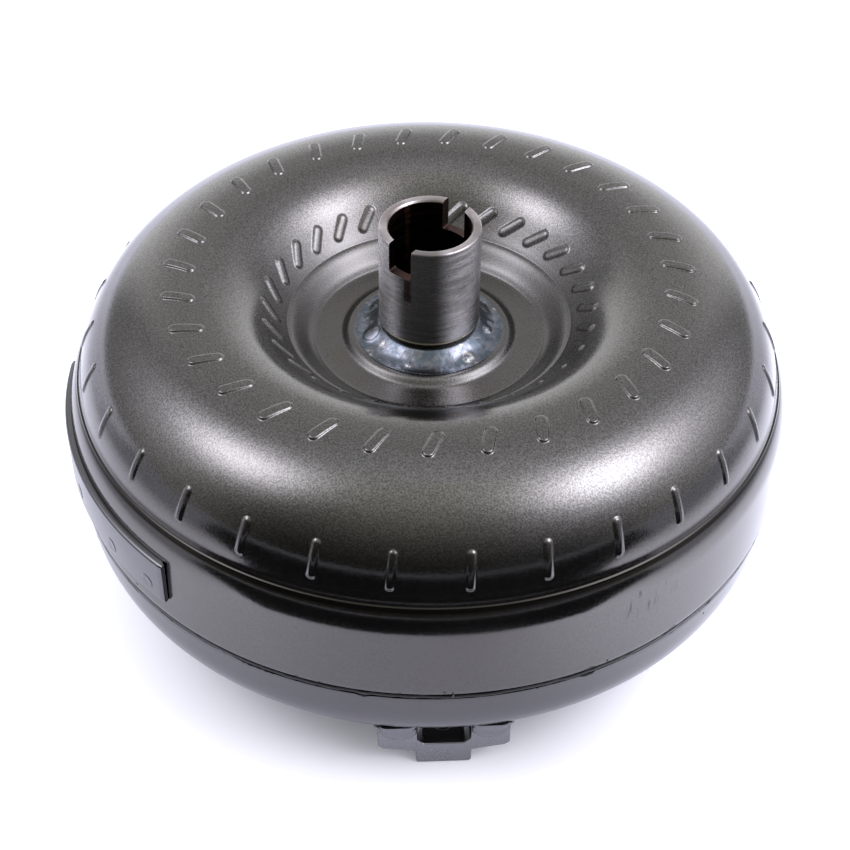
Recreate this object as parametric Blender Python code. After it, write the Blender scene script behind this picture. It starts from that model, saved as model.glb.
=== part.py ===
"""Torque converter, lock-up type, as it would come apart on a bench.

Frame: +Z along the converter's axis towards the pump-drive hub, origin on the
axis in the plane of the three mounting pads. Sizes below are in millimetres
and every mesh is made in metres.
"""

import math

import bmesh
import bpy
from mathutils import Vector

MM = 0.001

# ---- driving dimensions -----------------------------------------------------
SEGMENTS = 36                   # facets round the big shells
SKIRT_R = 173.6                 # impeller skirt, outside
SKIRT_WALL = 3.2
SKIRT_LOW_Z = 66.2              # lower edge of the skirt, at the seam weld
TORUS_R = 115.8                 # centre circle of the impeller torus
TORUS_Z = 110.7
TORUS_r = 51.8                  # outside radius of the torus section
TURBINE_Z = 103.0
TURBINE_r = 46.5
COVER_FACE_Z = 26.4             # flat outer face of the front cover
HUB_R = 23.8                    # pump-drive hub, 47.6 mm outside
HUB_BORE_R = 19.35
HUB_TOP_Z = 190.4
SLOT_W = 12.4                   # drive slots for the pump gear
SLOT_Z = 175.0
SLOT_DEG = -126.0
VANES = 31                      # impeller vanes, each with three pressed tabs
TURBINE_VANES = 29
STATOR_VANES = 17
LUGS = 3
LUG_DEG = -86.5
LUG_R = (133.4, 158.6)          # inner and outer face of a lug
BOLT_CIRCLE_R = 146.0
BOLT_HOLE_R = 4.25              # tapping size for M10
SPRINGS = 6
SPRING_R = 138.0                # damper springs' circle
SPRING_Z = 48.0
ROLLERS = 10

# ---- start from an empty scene ----------------------------------------------
for old in list(bpy.data.objects):
    bpy.data.objects.remove(old, do_unlink=True)


def material(name, colour, roughness, metallic=1.0):
    mat = bpy.data.materials.new(name)
    mat.use_nodes = True
    shader = mat.node_tree.nodes["Principled BSDF"]
    shader.inputs["Base Color"].default_value = (*colour, 1.0)
    shader.inputs["Roughness"].default_value = roughness
    shader.inputs["Metallic"].default_value = metallic
    mat.diffuse_color = (*colour, 1.0)
    return mat


PAINT = material("shell_paint", (0.105, 0.098, 0.086), 0.36, 0.6)
COVER_PAINT = material("cover_paint", (0.12, 0.118, 0.115), 0.4, 0.6)
LUG_PAINT = material("lug_paint", (0.15, 0.15, 0.155), 0.45, 0.5)
GROUND = material("ground_steel", (0.30, 0.28, 0.265), 0.28)
WELD = material("hub_weld_metal", (0.26, 0.27, 0.29), 0.3)
SEAM = material("seam_weld_paint", (0.11, 0.11, 0.11), 0.42, 0.6)
PRESSED = material("pressed_steel", (0.33, 0.33, 0.34), 0.42)
MACHINED = material("machined_steel", (0.42, 0.42, 0.43), 0.3)
HARDENED = material("bearing_steel", (0.5, 0.5, 0.51), 0.22)
SPRING_STEEL = material("spring_steel", (0.2, 0.2, 0.22), 0.35)
CASTING = material("cast_aluminium", (0.55, 0.55, 0.56), 0.5)
FRICTION = material("friction_paper", (0.16, 0.11, 0.07), 0.9, 0.0)
POLYMER = material("thrust_polymer", (0.25, 0.2, 0.13), 0.6, 0.0)


# ---- helpers ----------------------------------------------------------------
def polar(radius, degrees, z):
    a = math.radians(degrees)
    return (radius * math.cos(a), radius * math.sin(a), z)


def arc(centre_r, centre_z, radius, angles):
    """Section points (R, Z) on a circle, angles in degrees from +R."""
    return [
        (
            centre_r + radius * math.cos(math.radians(a)),
            centre_z + radius * math.sin(math.radians(a)),
        )
        for a in angles
    ]


def finish(name, bm, mat, helper=False, smooth=40.0):
    bmesh.ops.recalc_face_normals(bm, faces=bm.faces)
    bmesh.ops.scale(bm, vec=(MM, MM, MM), verts=bm.verts)
    mesh = bpy.data.meshes.new(name)
    bm.to_mesh(mesh)
    bm.free()
    obj = bpy.data.objects.new(name, mesh)
    bpy.context.scene.collection.objects.link(obj)
    if helper:
        obj.hide_render = True
        obj.display_type = "WIRE"
        return obj
    mesh.materials.append(mat)
    mesh.shade_smooth()
    mesh.set_sharp_from_angle(angle=math.radians(smooth))
    return obj


def lathe_into(bm, loop, segments, phase=0.0):
    """Turns a closed section (R, Z) about the axis into a closed ring."""
    rings = []
    for i in range(segments):
        a = phase + 360.0 * i / segments
        rings.append([bm.verts.new(polar(r, a, z)) for r, z in loop])
    for i in range(segments):
        here, there = rings[i], rings[(i + 1) % segments]
        for j in range(len(loop)):
            k = (j + 1) % len(loop)
            bm.faces.new((here[j], there[j], there[k], here[k]))


def ring(name, loop, mat, segments=SEGMENTS, phase=0.0, helper=False):
    bm = bmesh.new()
    lathe_into(bm, loop, segments, phase)
    return finish(name, bm, mat, helper)


def disc(name, profile, mat, segments=SEGMENTS):
    """Turns an open section that starts and ends on the axis."""
    bm = bmesh.new()
    low = bm.verts.new((0, 0, profile[0][1]))
    high = bm.verts.new((0, 0, profile[-1][1]))
    body = profile[1:-1]
    rings = [
        [bm.verts.new(polar(r, 360.0 * i / segments, z)) for r, z in body]
        for i in range(segments)
    ]
    for i in range(segments):
        here, there = rings[i], rings[(i + 1) % segments]
        bm.faces.new((low, there[0], here[0]))
        for j in range(len(body) - 1):
            bm.faces.new((here[j], there[j], there[j + 1], here[j + 1]))
        bm.faces.new((high, here[-1], there[-1]))
    return finish(name, bm, mat)


def washer_loop(r0, r1, z0, z1):
    return [(r0, z0), (r1, z0), (r1, z1), (r0, z1)]


def prism_into(bm, outline, place):
    """Extrudes a 2D outline between its two ends; place(u, v, end) -> xyz."""
    ends = [[bm.verts.new(place(u, v, e)) for u, v in outline] for e in (0, 1)]
    n = len(outline)
    bm.faces.new(ends[0][::-1])
    bm.faces.new(ends[1])
    for i in range(n):
        k = (i + 1) % n
        bm.faces.new((ends[0][i], ends[0][k], ends[1][k], ends[1][i]))


def arc_block_into(bm, r0, r1, z0, z1, a0, a1, steps):
    """A curved bar of rectangular section, from angle a0 to a1 in degrees."""
    cuts = []
    for i in range(steps + 1):
        a = a0 + (a1 - a0) * i / steps
        cuts.append([bm.verts.new(polar(r, a, z))
                     for r, z in washer_loop(r0, r1, z0, z1)])
    for here, there in zip(cuts[:-1], cuts[1:]):
        for j in range(4):
            k = (j + 1) % 4
            bm.faces.new((here[j], there[j], there[k], here[k]))
    bm.faces.new(cuts[0][::-1])
    bm.faces.new(cuts[-1])


def boolean(obj, tool, operation, name):
    mod = obj.modifiers.new(name, "BOOLEAN")
    mod.operation = operation
    mod.solver = "EXACT"
    mod.object = tool
    return mod


def helper_mesh(name, fill):
    bm = bmesh.new()
    fill(bm)
    return finish(name, bm, None, helper=True)


# ---- impeller shell: the upper casing, with its pressed vane tabs ------------
shell_outside = (
    [(24.2, 127.5), (54.2, 127.5), (58.5, 128.9), (63.5, 134.4), (67.5, 136.8),
     (71.5, 140.4), (80.4, 149.9), (90.5, 157.4), (102.0, 161.7)]
    + arc(TORUS_R, TORUS_Z, TORUS_r, (88, 73, 58, 44, 30, 19, 9))
    + [(168.9, 115.6), (170.8, 112.0), (172.3, 107.4), (173.0, 101.5),
       (SKIRT_R, 80.0), (SKIRT_R, SKIRT_LOW_Z)]
)
inner_r = TORUS_r - SKIRT_WALL
shell_inside = (
    [(SKIRT_R - SKIRT_WALL, SKIRT_LOW_Z), (SKIRT_R - SKIRT_WALL, 80.0),
     (169.8, 101.5), (167.6, 109.0)]
    + arc(TORUS_R, TORUS_Z, inner_r, (14, 38, 64, 90))
    + [(103.0, 158.5), (92.0, 154.4), (82.5, 147.4), (68.6, 133.4),
       (57.0, 124.3), (24.2, 124.3)]
)
impeller_shell = ring("impeller_shell", shell_outside + shell_inside, PAINT)


def shell_top(radius):
    """Height and outward normal (R, Z) of the shell's outside at a radius."""
    if radius > TORUS_R:
        dz = math.sqrt(TORUS_r**2 - (radius - TORUS_R) ** 2)
        return TORUS_Z + dz, ((radius - TORUS_R) / TORUS_r, dz / TORUS_r)
    for (ra, za), (rb, zb) in zip(shell_outside[:-1], shell_outside[1:]):
        if ra <= radius <= rb:
            t = (radius - ra) / (rb - ra)
            slope = math.hypot(rb - ra, zb - za)
            return za + t * (zb - za), (-(zb - za) / slope, (rb - ra) / slope)
    raise ValueError(radius)


# Each vane is held by three tabs, so each ring of raised marks has one per vane:
# (inner radius, angle there, outer radius, angle there, width)
TAB_RINGS = (
    (70.9, 72.6, 79.4, 64.8, 4.4),
    (109.6, -110.4, 125.3, -113.6, 4.8),
    (158.2, -187.6, 166.0, -188.1, 4.2),
)


def tab_into(bm, r0, a0, r1, a1, width):
    z0, _ = shell_top(r0)
    z1, _ = shell_top(r1)
    start, end = Vector(polar(r0, a0, z0)), Vector(polar(r1, a1, z1))
    mid_r, mid_a = (r0 + r1) / 2, (a0 + a1) / 2
    mid_z, (nr, nz) = shell_top(mid_r)
    centre = Vector(polar(mid_r, mid_a, mid_z))
    flat = polar(1.0, mid_a, 0.0)
    normal = Vector((nr * flat[0], nr * flat[1], nz)).normalized()
    along = end - start
    along = (along - along.dot(normal) * normal).normalized()
    across = normal.cross(along)
    half = (end - start).length / 2
    corners = []
    for depth, cut in ((-2.2, 0.0), (0.8, 1.2)):
        for u, v in ((-1, -1), (1, -1), (1, 1), (-1, 1)):
            corners.append(
                bm.verts.new(
                    centre + along * u * (half - cut)
                    + across * v * (width / 2 - cut * 0.8) + normal * depth
                )
            )
    low, high = corners[:4], corners[4:]
    bm.faces.new(low[::-1])
    bm.faces.new(high)
    for i in range(4):
        k = (i + 1) % 4
        bm.faces.new((low[i], low[k], high[k], high[i]))


def all_tabs(bm):
    for r0, a0, r1, a1, width in TAB_RINGS:
        for i in range(VANES):
            turn = 360.0 * i / VANES
            tab_into(bm, r0, a0 + turn, r1, a1 + turn, width)


boolean(impeller_shell, helper_mesh("vane_tabs_helper", all_tabs), "UNION", "vane tabs")

# ---- pump-drive hub and its welds ---------------------------------------------
impeller_hub = ring(
    "impeller_hub",
    [(HUB_BORE_R, 120.5), (38.0, 120.5), (38.0, 124.0),
     (HUB_R, 124.0), (HUB_R, HUB_TOP_Z - 1.0), (HUB_R - 0.8, HUB_TOP_Z),
     (HUB_BORE_R + 0.8, HUB_TOP_Z), (HUB_BORE_R, HUB_TOP_Z - 1.0)],
    GROUND, segments=28,
)


def slot_cutter(bm):
    c, s = math.cos(math.radians(SLOT_DEG)), math.sin(math.radians(SLOT_DEG))

    def place(u, v, end):
        z = SLOT_Z if end == 0 else HUB_TOP_Z + 5
        return (u * c - v * s, u * s + v * c, z)

    w = SLOT_W / 2
    prism_into(bm, [(-40, -w), (40, -w), (40, w), (-40, w)], place)


boolean(impeller_hub, helper_mesh("drive_slot_helper", slot_cutter), "DIFFERENCE",
        "drive slots")

ring(
    "hub_weld",
    [(24.2, 127.8), (39.3, 127.8), (36.2, 129.6), (32.4, 128.6), (28.6, 131.0),
     (25.6, 135.2), (24.2, 135.8)],
    WELD, segments=28,
)
ring(
    "seam_weld",
    [(170.6, 62.5), (172.4, 62.5), (174.3, 64.2), (173.3, 65.9), (170.6, 65.9)],
    SEAM,
)

# ---- front cover, pilot and mounting lugs --------------------------------------
cover_outside = [
    (0, 30.0), (40, 30.0), (60, COVER_FACE_Z), (152.0, COVER_FACE_Z),
    (158.5, 28.0), (164.5, 32.2), (168.6, 38.5), (171.0, 46.0), (172.3, 54.0),
    (172.6, 62.2), (170.0, 62.2), (170.0, 78.0),
]
cover_inside = [
    (165.6, 78.0), (165.6, 50.0), (160.6, 37.0), (152.0, 31.7), (62.0, 31.7),
    (42.0, 34.5), (0, 34.5),
]
front_cover = disc("front_cover", cover_outside + cover_inside, COVER_PAINT)
disc(
    "pilot_hub",
    [(0, 15.5), (18.5, 15.5), (20.0, 17.0), (20.0, 26.5), (23.0, 29.7), (0, 29.7)],
    GROUND, segments=24,
)

# Front view of one lug: bridge on two feet, with a square boss for the bolt
LUG_OUTLINE = [
    (-30.3, 26.1), (-30.3, 12.8), (-28.0, 11.0), (-12.75, 8.2), (-12.75, 0.9),
    (-11.85, 0.0), (11.85, 0.0), (12.75, 0.9), (12.75, 8.2), (28.0, 11.0),
    (30.3, 12.8), (30.3, 26.1), (12.3, 26.1), (12.3, 16.0), (9.3, 13.3),
    (-9.3, 13.3), (-12.3, 16.0), (-12.3, 26.1),
]
for n in range(LUGS):
    turn = LUG_DEG + n * 360.0 / LUGS
    c, s = math.cos(math.radians(turn)), math.sin(math.radians(turn))

    def lug_place(u, v, end, c=c, s=s):
        r = LUG_R[end]
        return (r * c - u * s, r * s + u * c, v)

    bm = bmesh.new()
    prism_into(bm, LUG_OUTLINE, lug_place)
    lug = finish(f"mounting_lug_{n + 1}", bm, LUG_PAINT, smooth=20)

    def bolt_hole(bm, turn=turn):
        x, y, _ = polar(BOLT_CIRCLE_R, turn, 0)
        outline = [polar(BOLT_HOLE_R, 36.0 * i + turn, 0)[:2] for i in range(10)]
        prism_into(bm, outline, lambda u, v, e: (x + u, y + v, -4 if e == 0 else 20))

    boolean(lug, helper_mesh(f"bolt_hole_helper_{n + 1}", bolt_hole), "DIFFERENCE",
            "tapped hole")

bm = bmesh.new()
arc_block_into(bm, SKIRT_R + 0.5, SKIRT_R + 2.9, 78.0, 101.5, -182.0, -131.0, 10)
finish("balance_weight", bm, LUG_PAINT)

# ---- vanes: curved sheets brazed to a core ring ---------------------------------
VANE_T = 1.1


def vane_angle(radius):
    """How far a vane has swept round, in degrees, at a radius in mm."""
    t = min(max((radius - 74.9) / (162.4 - 74.9), 0.0), 1.0)
    return -23.3 * (1.0 - (1.0 - t) ** 2.2)


def vane_wheel(name, centre_z, outer_r, up, count, face_z, phase):
    """Core ring with its vanes; up is 1 above the split plane and -1 below.

    The ring is made of wide and narrow steps in turn, and a vane grows out of
    each narrow one, so ring and vanes are one skin.
    """
    angles = [up * a for a in (150, 100, 50)]
    tip = arc(TORUS_R, centre_z, outer_r, angles) + [(TORUS_R + outer_r, face_z)]
    root = arc(TORUS_R, centre_z, 21.6, angles) + [(TORUS_R + 21.6, face_z)]
    back = [(TORUS_R + 19.2, face_z)] + arc(TORUS_R, centre_z, 19.2, angles[::-1])
    n = len(root)

    bm = bmesh.new()
    columns = []
    for i in range(count):
        for side in (-0.5, 0.5):
            column = []
            for r, z in root + back + tip:
                a = (phase + 360.0 * i / count + vane_angle(r)
                     + math.degrees(side * VANE_T / r))
                column.append(bm.verts.new(polar(r, a, z)))
            columns.append(column)
    for i in range(count):
        left, right = columns[2 * i], columns[2 * i + 1]
        after = columns[(2 * i + 2) % (2 * count)]
        for j in range(2 * n):
            k = (j + 1) % (2 * n)
            bm.faces.new((right[j], after[j], after[k], right[k]))
            if j >= n - 1:
                bm.faces.new((left[j], right[j], right[k], left[k]))
        for j in range(n - 1):
            t = 2 * n + j
            bm.faces.new((left[j], left[j + 1], left[t + 1], left[t]))
            bm.faces.new((right[j], right[t], right[t + 1], right[j + 1]))
            bm.faces.new((left[t], left[t + 1], right[t + 1], right[t]))
        for j in (0, n - 1):
            bm.faces.new((left[j], left[2 * n + j], right[2 * n + j], right[j]))
    bmesh.ops.triangulate(bm, faces=bm.faces)
    return finish(name, bm, PRESSED)


vane_wheel("impeller_vanes", TORUS_Z, 46.2, 1, VANES, 108.0, 68.6)

# ---- turbine ------------------------------------------------------------------------
turbine_angles = (-2, -38, -75, -112, -150)
ring(
    "turbine_shell",
    [(TORUS_R + TURBINE_r, 105.6)]
    + arc(TORUS_R, TURBINE_Z, TURBINE_r, turbine_angles)
    + [(71.5, 77.5), (46.0, 77.5), (46.0, 79.5), (70.8, 79.5)]
    + arc(TORUS_R, TURBINE_Z, TURBINE_r - 2.0, turbine_angles[::-1])
    + [(TORUS_R + TURBINE_r - 2.0, 105.6)],
    PRESSED, segments=32,
)
vane_wheel("turbine_vanes", TURBINE_Z, 41.4, -1, TURBINE_VANES, 105.6, 3.0)


def spline_cutter(root_r, tip_r, teeth, z0, z1):
    def fill(bm):
        outline = []
        for i in range(teeth):
            a = 360.0 * i / teeth
            outline.append(polar(root_r, a, 0)[:2])
            outline.append(polar(tip_r, a + 180.0 / teeth, 0)[:2])
        prism_into(bm, outline, lambda u, v, e: (u, v, z0 if e == 0 else z1))
    return fill


turbine_hub = ring(
    "turbine_hub",
    [(10.5, 38.1), (28.6, 38.1), (30.0, 39.4), (30.0, 41.0), (28.4, 41.0),
     (28.4, 43.2), (30.0, 43.2), (30.0, 74.4), (60.0, 74.4), (60.0, 77.2),
     (45.4, 77.2), (45.4, 80.0), (32.0, 84.0), (10.5, 84.0)],
    MACHINED, segments=24,
)
boolean(turbine_hub, helper_mesh("turbine_spline_helper",
                                 spline_cutter(14.4, 12.9, 14, 30, 95)),
        "DIFFERENCE", "spline")

# ---- lock-up clutch and damper ---------------------------------------------------------
ring("piston_seal", washer_loop(28.7, 30.4, 41.3, 42.9), POLYMER, segments=24)
ring(
    "lockup_piston",
    [(31.0, 38.6), (62.0, 38.6), (72.0, 33.8), (152.5, 33.8), (156.0, 37.4),
     (156.0, 50.0), (152.8, 50.0), (152.8, 37.3), (73.0, 37.3), (63.0, 42.0),
     (35.2, 42.0), (35.2, 47.0), (31.0, 47.0)],
    PRESSED, segments=30,
)
ring("friction_lining", washer_loop(122.0, 148.0, 32.0, 33.5), FRICTION, segments=30)


def six_blocks(r0, r1, z0, z1, half):
    def fill(bm):
        for i in range(SPRINGS):
            a = 60.0 * i
            arc_block_into(bm, r0, r1, z0, z1, a - half, a + half, 1)
    return fill


spring_retainer = ring("spring_retainer", washer_loop(112.0, 150.0, 39.2, 40.8), PRESSED,
                       segments=30)
boolean(spring_retainer, helper_mesh("retainer_stop_helper",
                                     six_blocks(130, 146, 40.0, 47.6, 6.5)),
        "UNION", "spring stops")
driven_plate = ring("damper_driven_plate", washer_loop(131.5, 148.5, 56.4, 58.4), PRESSED,
                    segments=30)
boolean(driven_plate, helper_mesh("driven_tab_helper",
                                  six_blocks(133, 146, 48.2, 57.4, 6.0)),
        "UNION", "driving tabs")


def coil_spring(name, middle_deg, half_deg, turns, coil_r, wire_r):
    """An arc spring: wire wound round the damper's spring circle."""
    per_turn, sides = 6, 3
    steps = turns * per_turn
    bm = bmesh.new()
    sections = []
    for i in range(steps + 1):
        a = math.radians(middle_deg - half_deg + 2 * half_deg * i / steps)
        w = 2 * math.pi * i / per_turn
        radial = Vector((math.cos(a), math.sin(a), 0))
        spoke = radial * math.cos(w) + Vector((0, 0, 1)) * math.sin(w)
        tangent = Vector((-math.sin(a), math.cos(a), 0))
        centre = radial * SPRING_R + Vector((0, 0, SPRING_Z)) + spoke * coil_r
        section = []
        for k in range(sides):
            q = 2 * math.pi * k / sides
            section.append(bm.verts.new(
                centre + spoke * wire_r * math.cos(q) + tangent * wire_r * math.sin(q)))
        sections.append(section)
    for here, there in zip(sections[:-1], sections[1:]):
        for k in range(sides):
            m = (k + 1) % sides
            bm.faces.new((here[k], here[m], there[m], there[k]))
    bm.faces.new(sections[0][::-1])
    bm.faces.new(sections[-1])
    bmesh.ops.triangulate(bm, faces=bm.faces)
    return finish(name, bm, SPRING_STEEL, smooth=60)


for n in range(SPRINGS):
    coil_spring(f"damper_spring_{n + 1}", 30.0 + 60.0 * n, 21.4, 7, 5.2, 1.5)

# ---- stator with its one-way clutch ---------------------------------------------------------
stator_wheel = ring(
    "stator_wheel",
    washer_loop(46.9, 68.5, 89.8, 114.7), CASTING, segments=34,
)
shroud = ring("stator_shroud_helper", washer_loop(91.4, 93.6, 97.0, 115.0), None,
              segments=34, helper=True)


def stator_blades(bm):
    tilt = math.radians(38.0)
    for i in range(STATOR_VANES):
        turn = 360.0 * i / STATOR_VANES
        c, s = math.cos(math.radians(turn)), math.sin(math.radians(turn))

        def place(u, v, end, c=c, s=s):
            r = 67.2 if end == 0 else 92.4
            t = u * math.cos(tilt) + v * math.sin(tilt)
            z = 105.0 - u * math.sin(tilt) + v * math.cos(tilt)
            return (r * c - t * s, r * s + t * c, z)

        prism_into(bm, [(-0.9, -9.8), (2.4, -1.5), (-0.4, 9.8), (-1.6, 1.0)], place)


boolean(stator_wheel, shroud, "UNION", "shroud")
boolean(stator_wheel, helper_mesh("stator_blade_helper", stator_blades), "UNION", "blades")


def cam_race():
    """Outer race: an even outside and ten one-way ramps inside."""
    bm = bmesh.new()
    per = 4
    count = ROLLERS * per
    ramp = (35.4, 35.4, 36.1, 36.8)
    columns = []
    for i in range(count):
        a = 360.0 * (i - 0.5) / count
        inner = ramp[i % per]
        columns.append([bm.verts.new(polar(r, a, z))
                        for r, z in washer_loop(inner, 46.5, 93.5, 111.2)])
    for i in range(count):
        here, there = columns[i], columns[(i + 1) % count]
        for j in range(4):
            k = (j + 1) % 4
            bm.faces.new((here[j], there[j], there[k], here[k]))
    bmesh.ops.triangulate(bm, faces=bm.faces)
    return finish("stator_cam_race", bm, HARDENED)


cam_race()
cage = ring("roller_cage", washer_loop(29.8, 32.6, 101.2, 103.6), SPRING_STEEL, segments=20)
def rollers(bm):
    for i in range(ROLLERS):
        x, y, _ = polar(31.2, 36.0 * i + 2.0, 0)
        outline = [polar(3.7, 60.0 * k + 36.0 * i, 0)[:2] for k in range(6)]
        prism_into(bm, outline,
                   lambda u, v, e, x=x, y=y: (x + u, y + v, 94.4 if e == 0 else 110.4))


boolean(cage, helper_mesh("roller_helper", rollers), "UNION", "rollers")

inner_race = ring(
    "stator_inner_race",
    washer_loop(14.0, 27.0, 93.5, 111.2), HARDENED, segments=28,
)
boolean(inner_race, helper_mesh("race_spline_helper",
                                spline_cutter(18.8, 17.3, 16, 88, 118)),
        "DIFFERENCE", "spline")
ring("stator_front_cap", washer_loop(21.5, 46.4, 89.9, 93.1), CASTING, segments=20)
ring("stator_rear_cap", washer_loop(21.5, 46.4, 111.5, 114.6), CASTING, segments=20)

# ---- thrust washer and thrust bearings -----------------------------------------------------------
ring("cover_thrust_washer", washer_loop(15.5, 27.0, 34.8, 37.8), POLYMER, segments=24)


def needle_cage(name, r0, r1, z0, z1):
    """Flat needle cage: a thin washer with the needles standing out of it."""
    mid = (z0 + z1) / 2
    base = ring(name, washer_loop(r0, r1, mid - 0.5, mid + 0.5), HARDENED, segments=16)

    def needles(bm):
        for i in range(8):
            a = 45.0 * i + 9.0
            c, s = math.cos(math.radians(a)), math.sin(math.radians(a))
            h = (z1 - z0) / 2

            def place(u, v, e, c=c, s=s):
                r = r0 + 1.4 if e == 0 else r1 - 1.4
                return (r * c - u * s, r * s + u * c, mid + v)

            prism_into(bm, [(-1.0, -h), (1.0, -h), (1.0, h), (-1.0, h)], place)

    boolean(base, helper_mesh(name + "_helper", needles), "UNION", "needles")
    return base


ring("turbine_bearing_race", washer_loop(22.5, 31.0, 84.3, 85.2), HARDENED, segments=20)
needle_cage("turbine_bearing_cage", 22.5, 31.0, 85.5, 88.3)
ring("stator_front_bearing_race", washer_loop(22.5, 33.5, 88.6, 89.5), HARDENED,
     segments=20)
ring("stator_rear_bearing_race", washer_loop(22.5, 33.5, 115.0, 115.8), HARDENED,
     segments=20)
needle_cage("impeller_bearing_cage", 22.5, 32.5, 116.1, 119.0)
ring("impeller_bearing_race", washer_loop(22.5, 33.5, 119.3, 120.2), HARDENED,
     segments=20)
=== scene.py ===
"""Looks of the torque converter: fine outer pieces, materials, light and camera."""

import math
import random

import bmesh
import bpy
from mathutils import Matrix, Vector, noise


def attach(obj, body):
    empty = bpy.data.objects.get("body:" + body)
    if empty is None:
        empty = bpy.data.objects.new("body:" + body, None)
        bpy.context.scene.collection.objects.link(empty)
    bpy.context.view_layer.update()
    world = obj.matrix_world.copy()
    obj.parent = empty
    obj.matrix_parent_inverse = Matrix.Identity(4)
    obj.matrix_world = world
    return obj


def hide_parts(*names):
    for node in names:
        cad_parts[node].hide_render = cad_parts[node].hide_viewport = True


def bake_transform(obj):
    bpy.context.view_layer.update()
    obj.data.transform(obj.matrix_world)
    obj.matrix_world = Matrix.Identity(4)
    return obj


MM = 0.001
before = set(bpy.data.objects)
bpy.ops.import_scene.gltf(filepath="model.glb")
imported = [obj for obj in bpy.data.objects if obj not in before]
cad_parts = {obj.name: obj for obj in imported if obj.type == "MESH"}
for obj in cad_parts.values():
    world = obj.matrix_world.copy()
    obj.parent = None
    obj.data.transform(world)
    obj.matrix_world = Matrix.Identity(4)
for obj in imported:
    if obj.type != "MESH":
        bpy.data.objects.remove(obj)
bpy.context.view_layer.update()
scene = bpy.context.scene


# ---- node helpers -------------------------------------------------------------
def node(tree, kind, inputs=None, **props):
    made = tree.nodes.new(kind)
    for key, value in props.items():
        setattr(made, key, value)
    for key, value in (inputs or {}).items():
        socket = made.inputs[key]
        if isinstance(value, bpy.types.NodeSocket):
            tree.links.new(value, socket)
        else:
            socket.default_value = value
    return made


def calc(tree, op, a, b=0.0, c=0.0, clamp=False):
    made = node(tree, "ShaderNodeMath", {0: a, 1: b, 2: c}, operation=op, use_clamp=clamp)
    return made.outputs[0]


def spread(tree, value, lo, hi, to_lo=0.0, to_hi=1.0, smooth=True):
    made = node(tree, "ShaderNodeMapRange",
                {"Value": value, "From Min": lo, "From Max": hi, "To Min": to_lo, "To Max": to_hi},
                interpolation_type="SMOOTHSTEP" if smooth else "LINEAR")
    return made.outputs["Result"]


def blend_colour(tree, factor, a, b, mode="MIX"):
    made = node(tree, "ShaderNodeMixRGB", {"Fac": factor, "Color1": a, "Color2": b}, blend_type=mode)
    return made.outputs[0]


def grey(r, g=None, b=None):
    return (r, r if g is None else g, r if b is None else b, 1.0)


def start_material(name, metallic, roughness):
    mat = bpy.data.materials.new(name)
    mat.use_nodes = True
    tree = mat.node_tree
    shader = tree.nodes["Principled BSDF"]
    shader.inputs["Metallic"].default_value = metallic
    shader.inputs["Roughness"].default_value = roughness
    place = node(tree, "ShaderNodeTexCoord").outputs["Object"]
    return mat, tree, shader, place


def stretched(tree, place, scale):
    return node(tree, "ShaderNodeMapping", {"Vector": place, "Scale": scale}).outputs[0]


def clouds(tree, place, scale, detail=3.0, rough=0.55):
    return node(tree, "ShaderNodeTexNoise",
                {"Vector": place, "Scale": scale, "Detail": detail, "Roughness": rough}).outputs[0]


def around(tree, place):
    """(angle in radians, radius, height) of a point, with the angle from +X."""
    xyz = node(tree, "ShaderNodeSeparateXYZ", {0: place}).outputs
    angle = calc(tree, "ARCTAN2", xyz[1], xyz[0])
    flat = node(tree, "ShaderNodeCombineXYZ", {0: xyz[0], 1: xyz[1]}).outputs[0]
    radius = node(tree, "ShaderNodeVectorMath", {0: flat}, operation="LENGTH").outputs["Value"]
    return angle, radius, xyz[2]


def bump(tree, height, strength, distance, under=None):
    values = {"Height": height, "Strength": strength, "Distance": distance}
    if under is not None:
        values["Normal"] = under
    return node(tree, "ShaderNodeBump", values).outputs[0]


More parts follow.
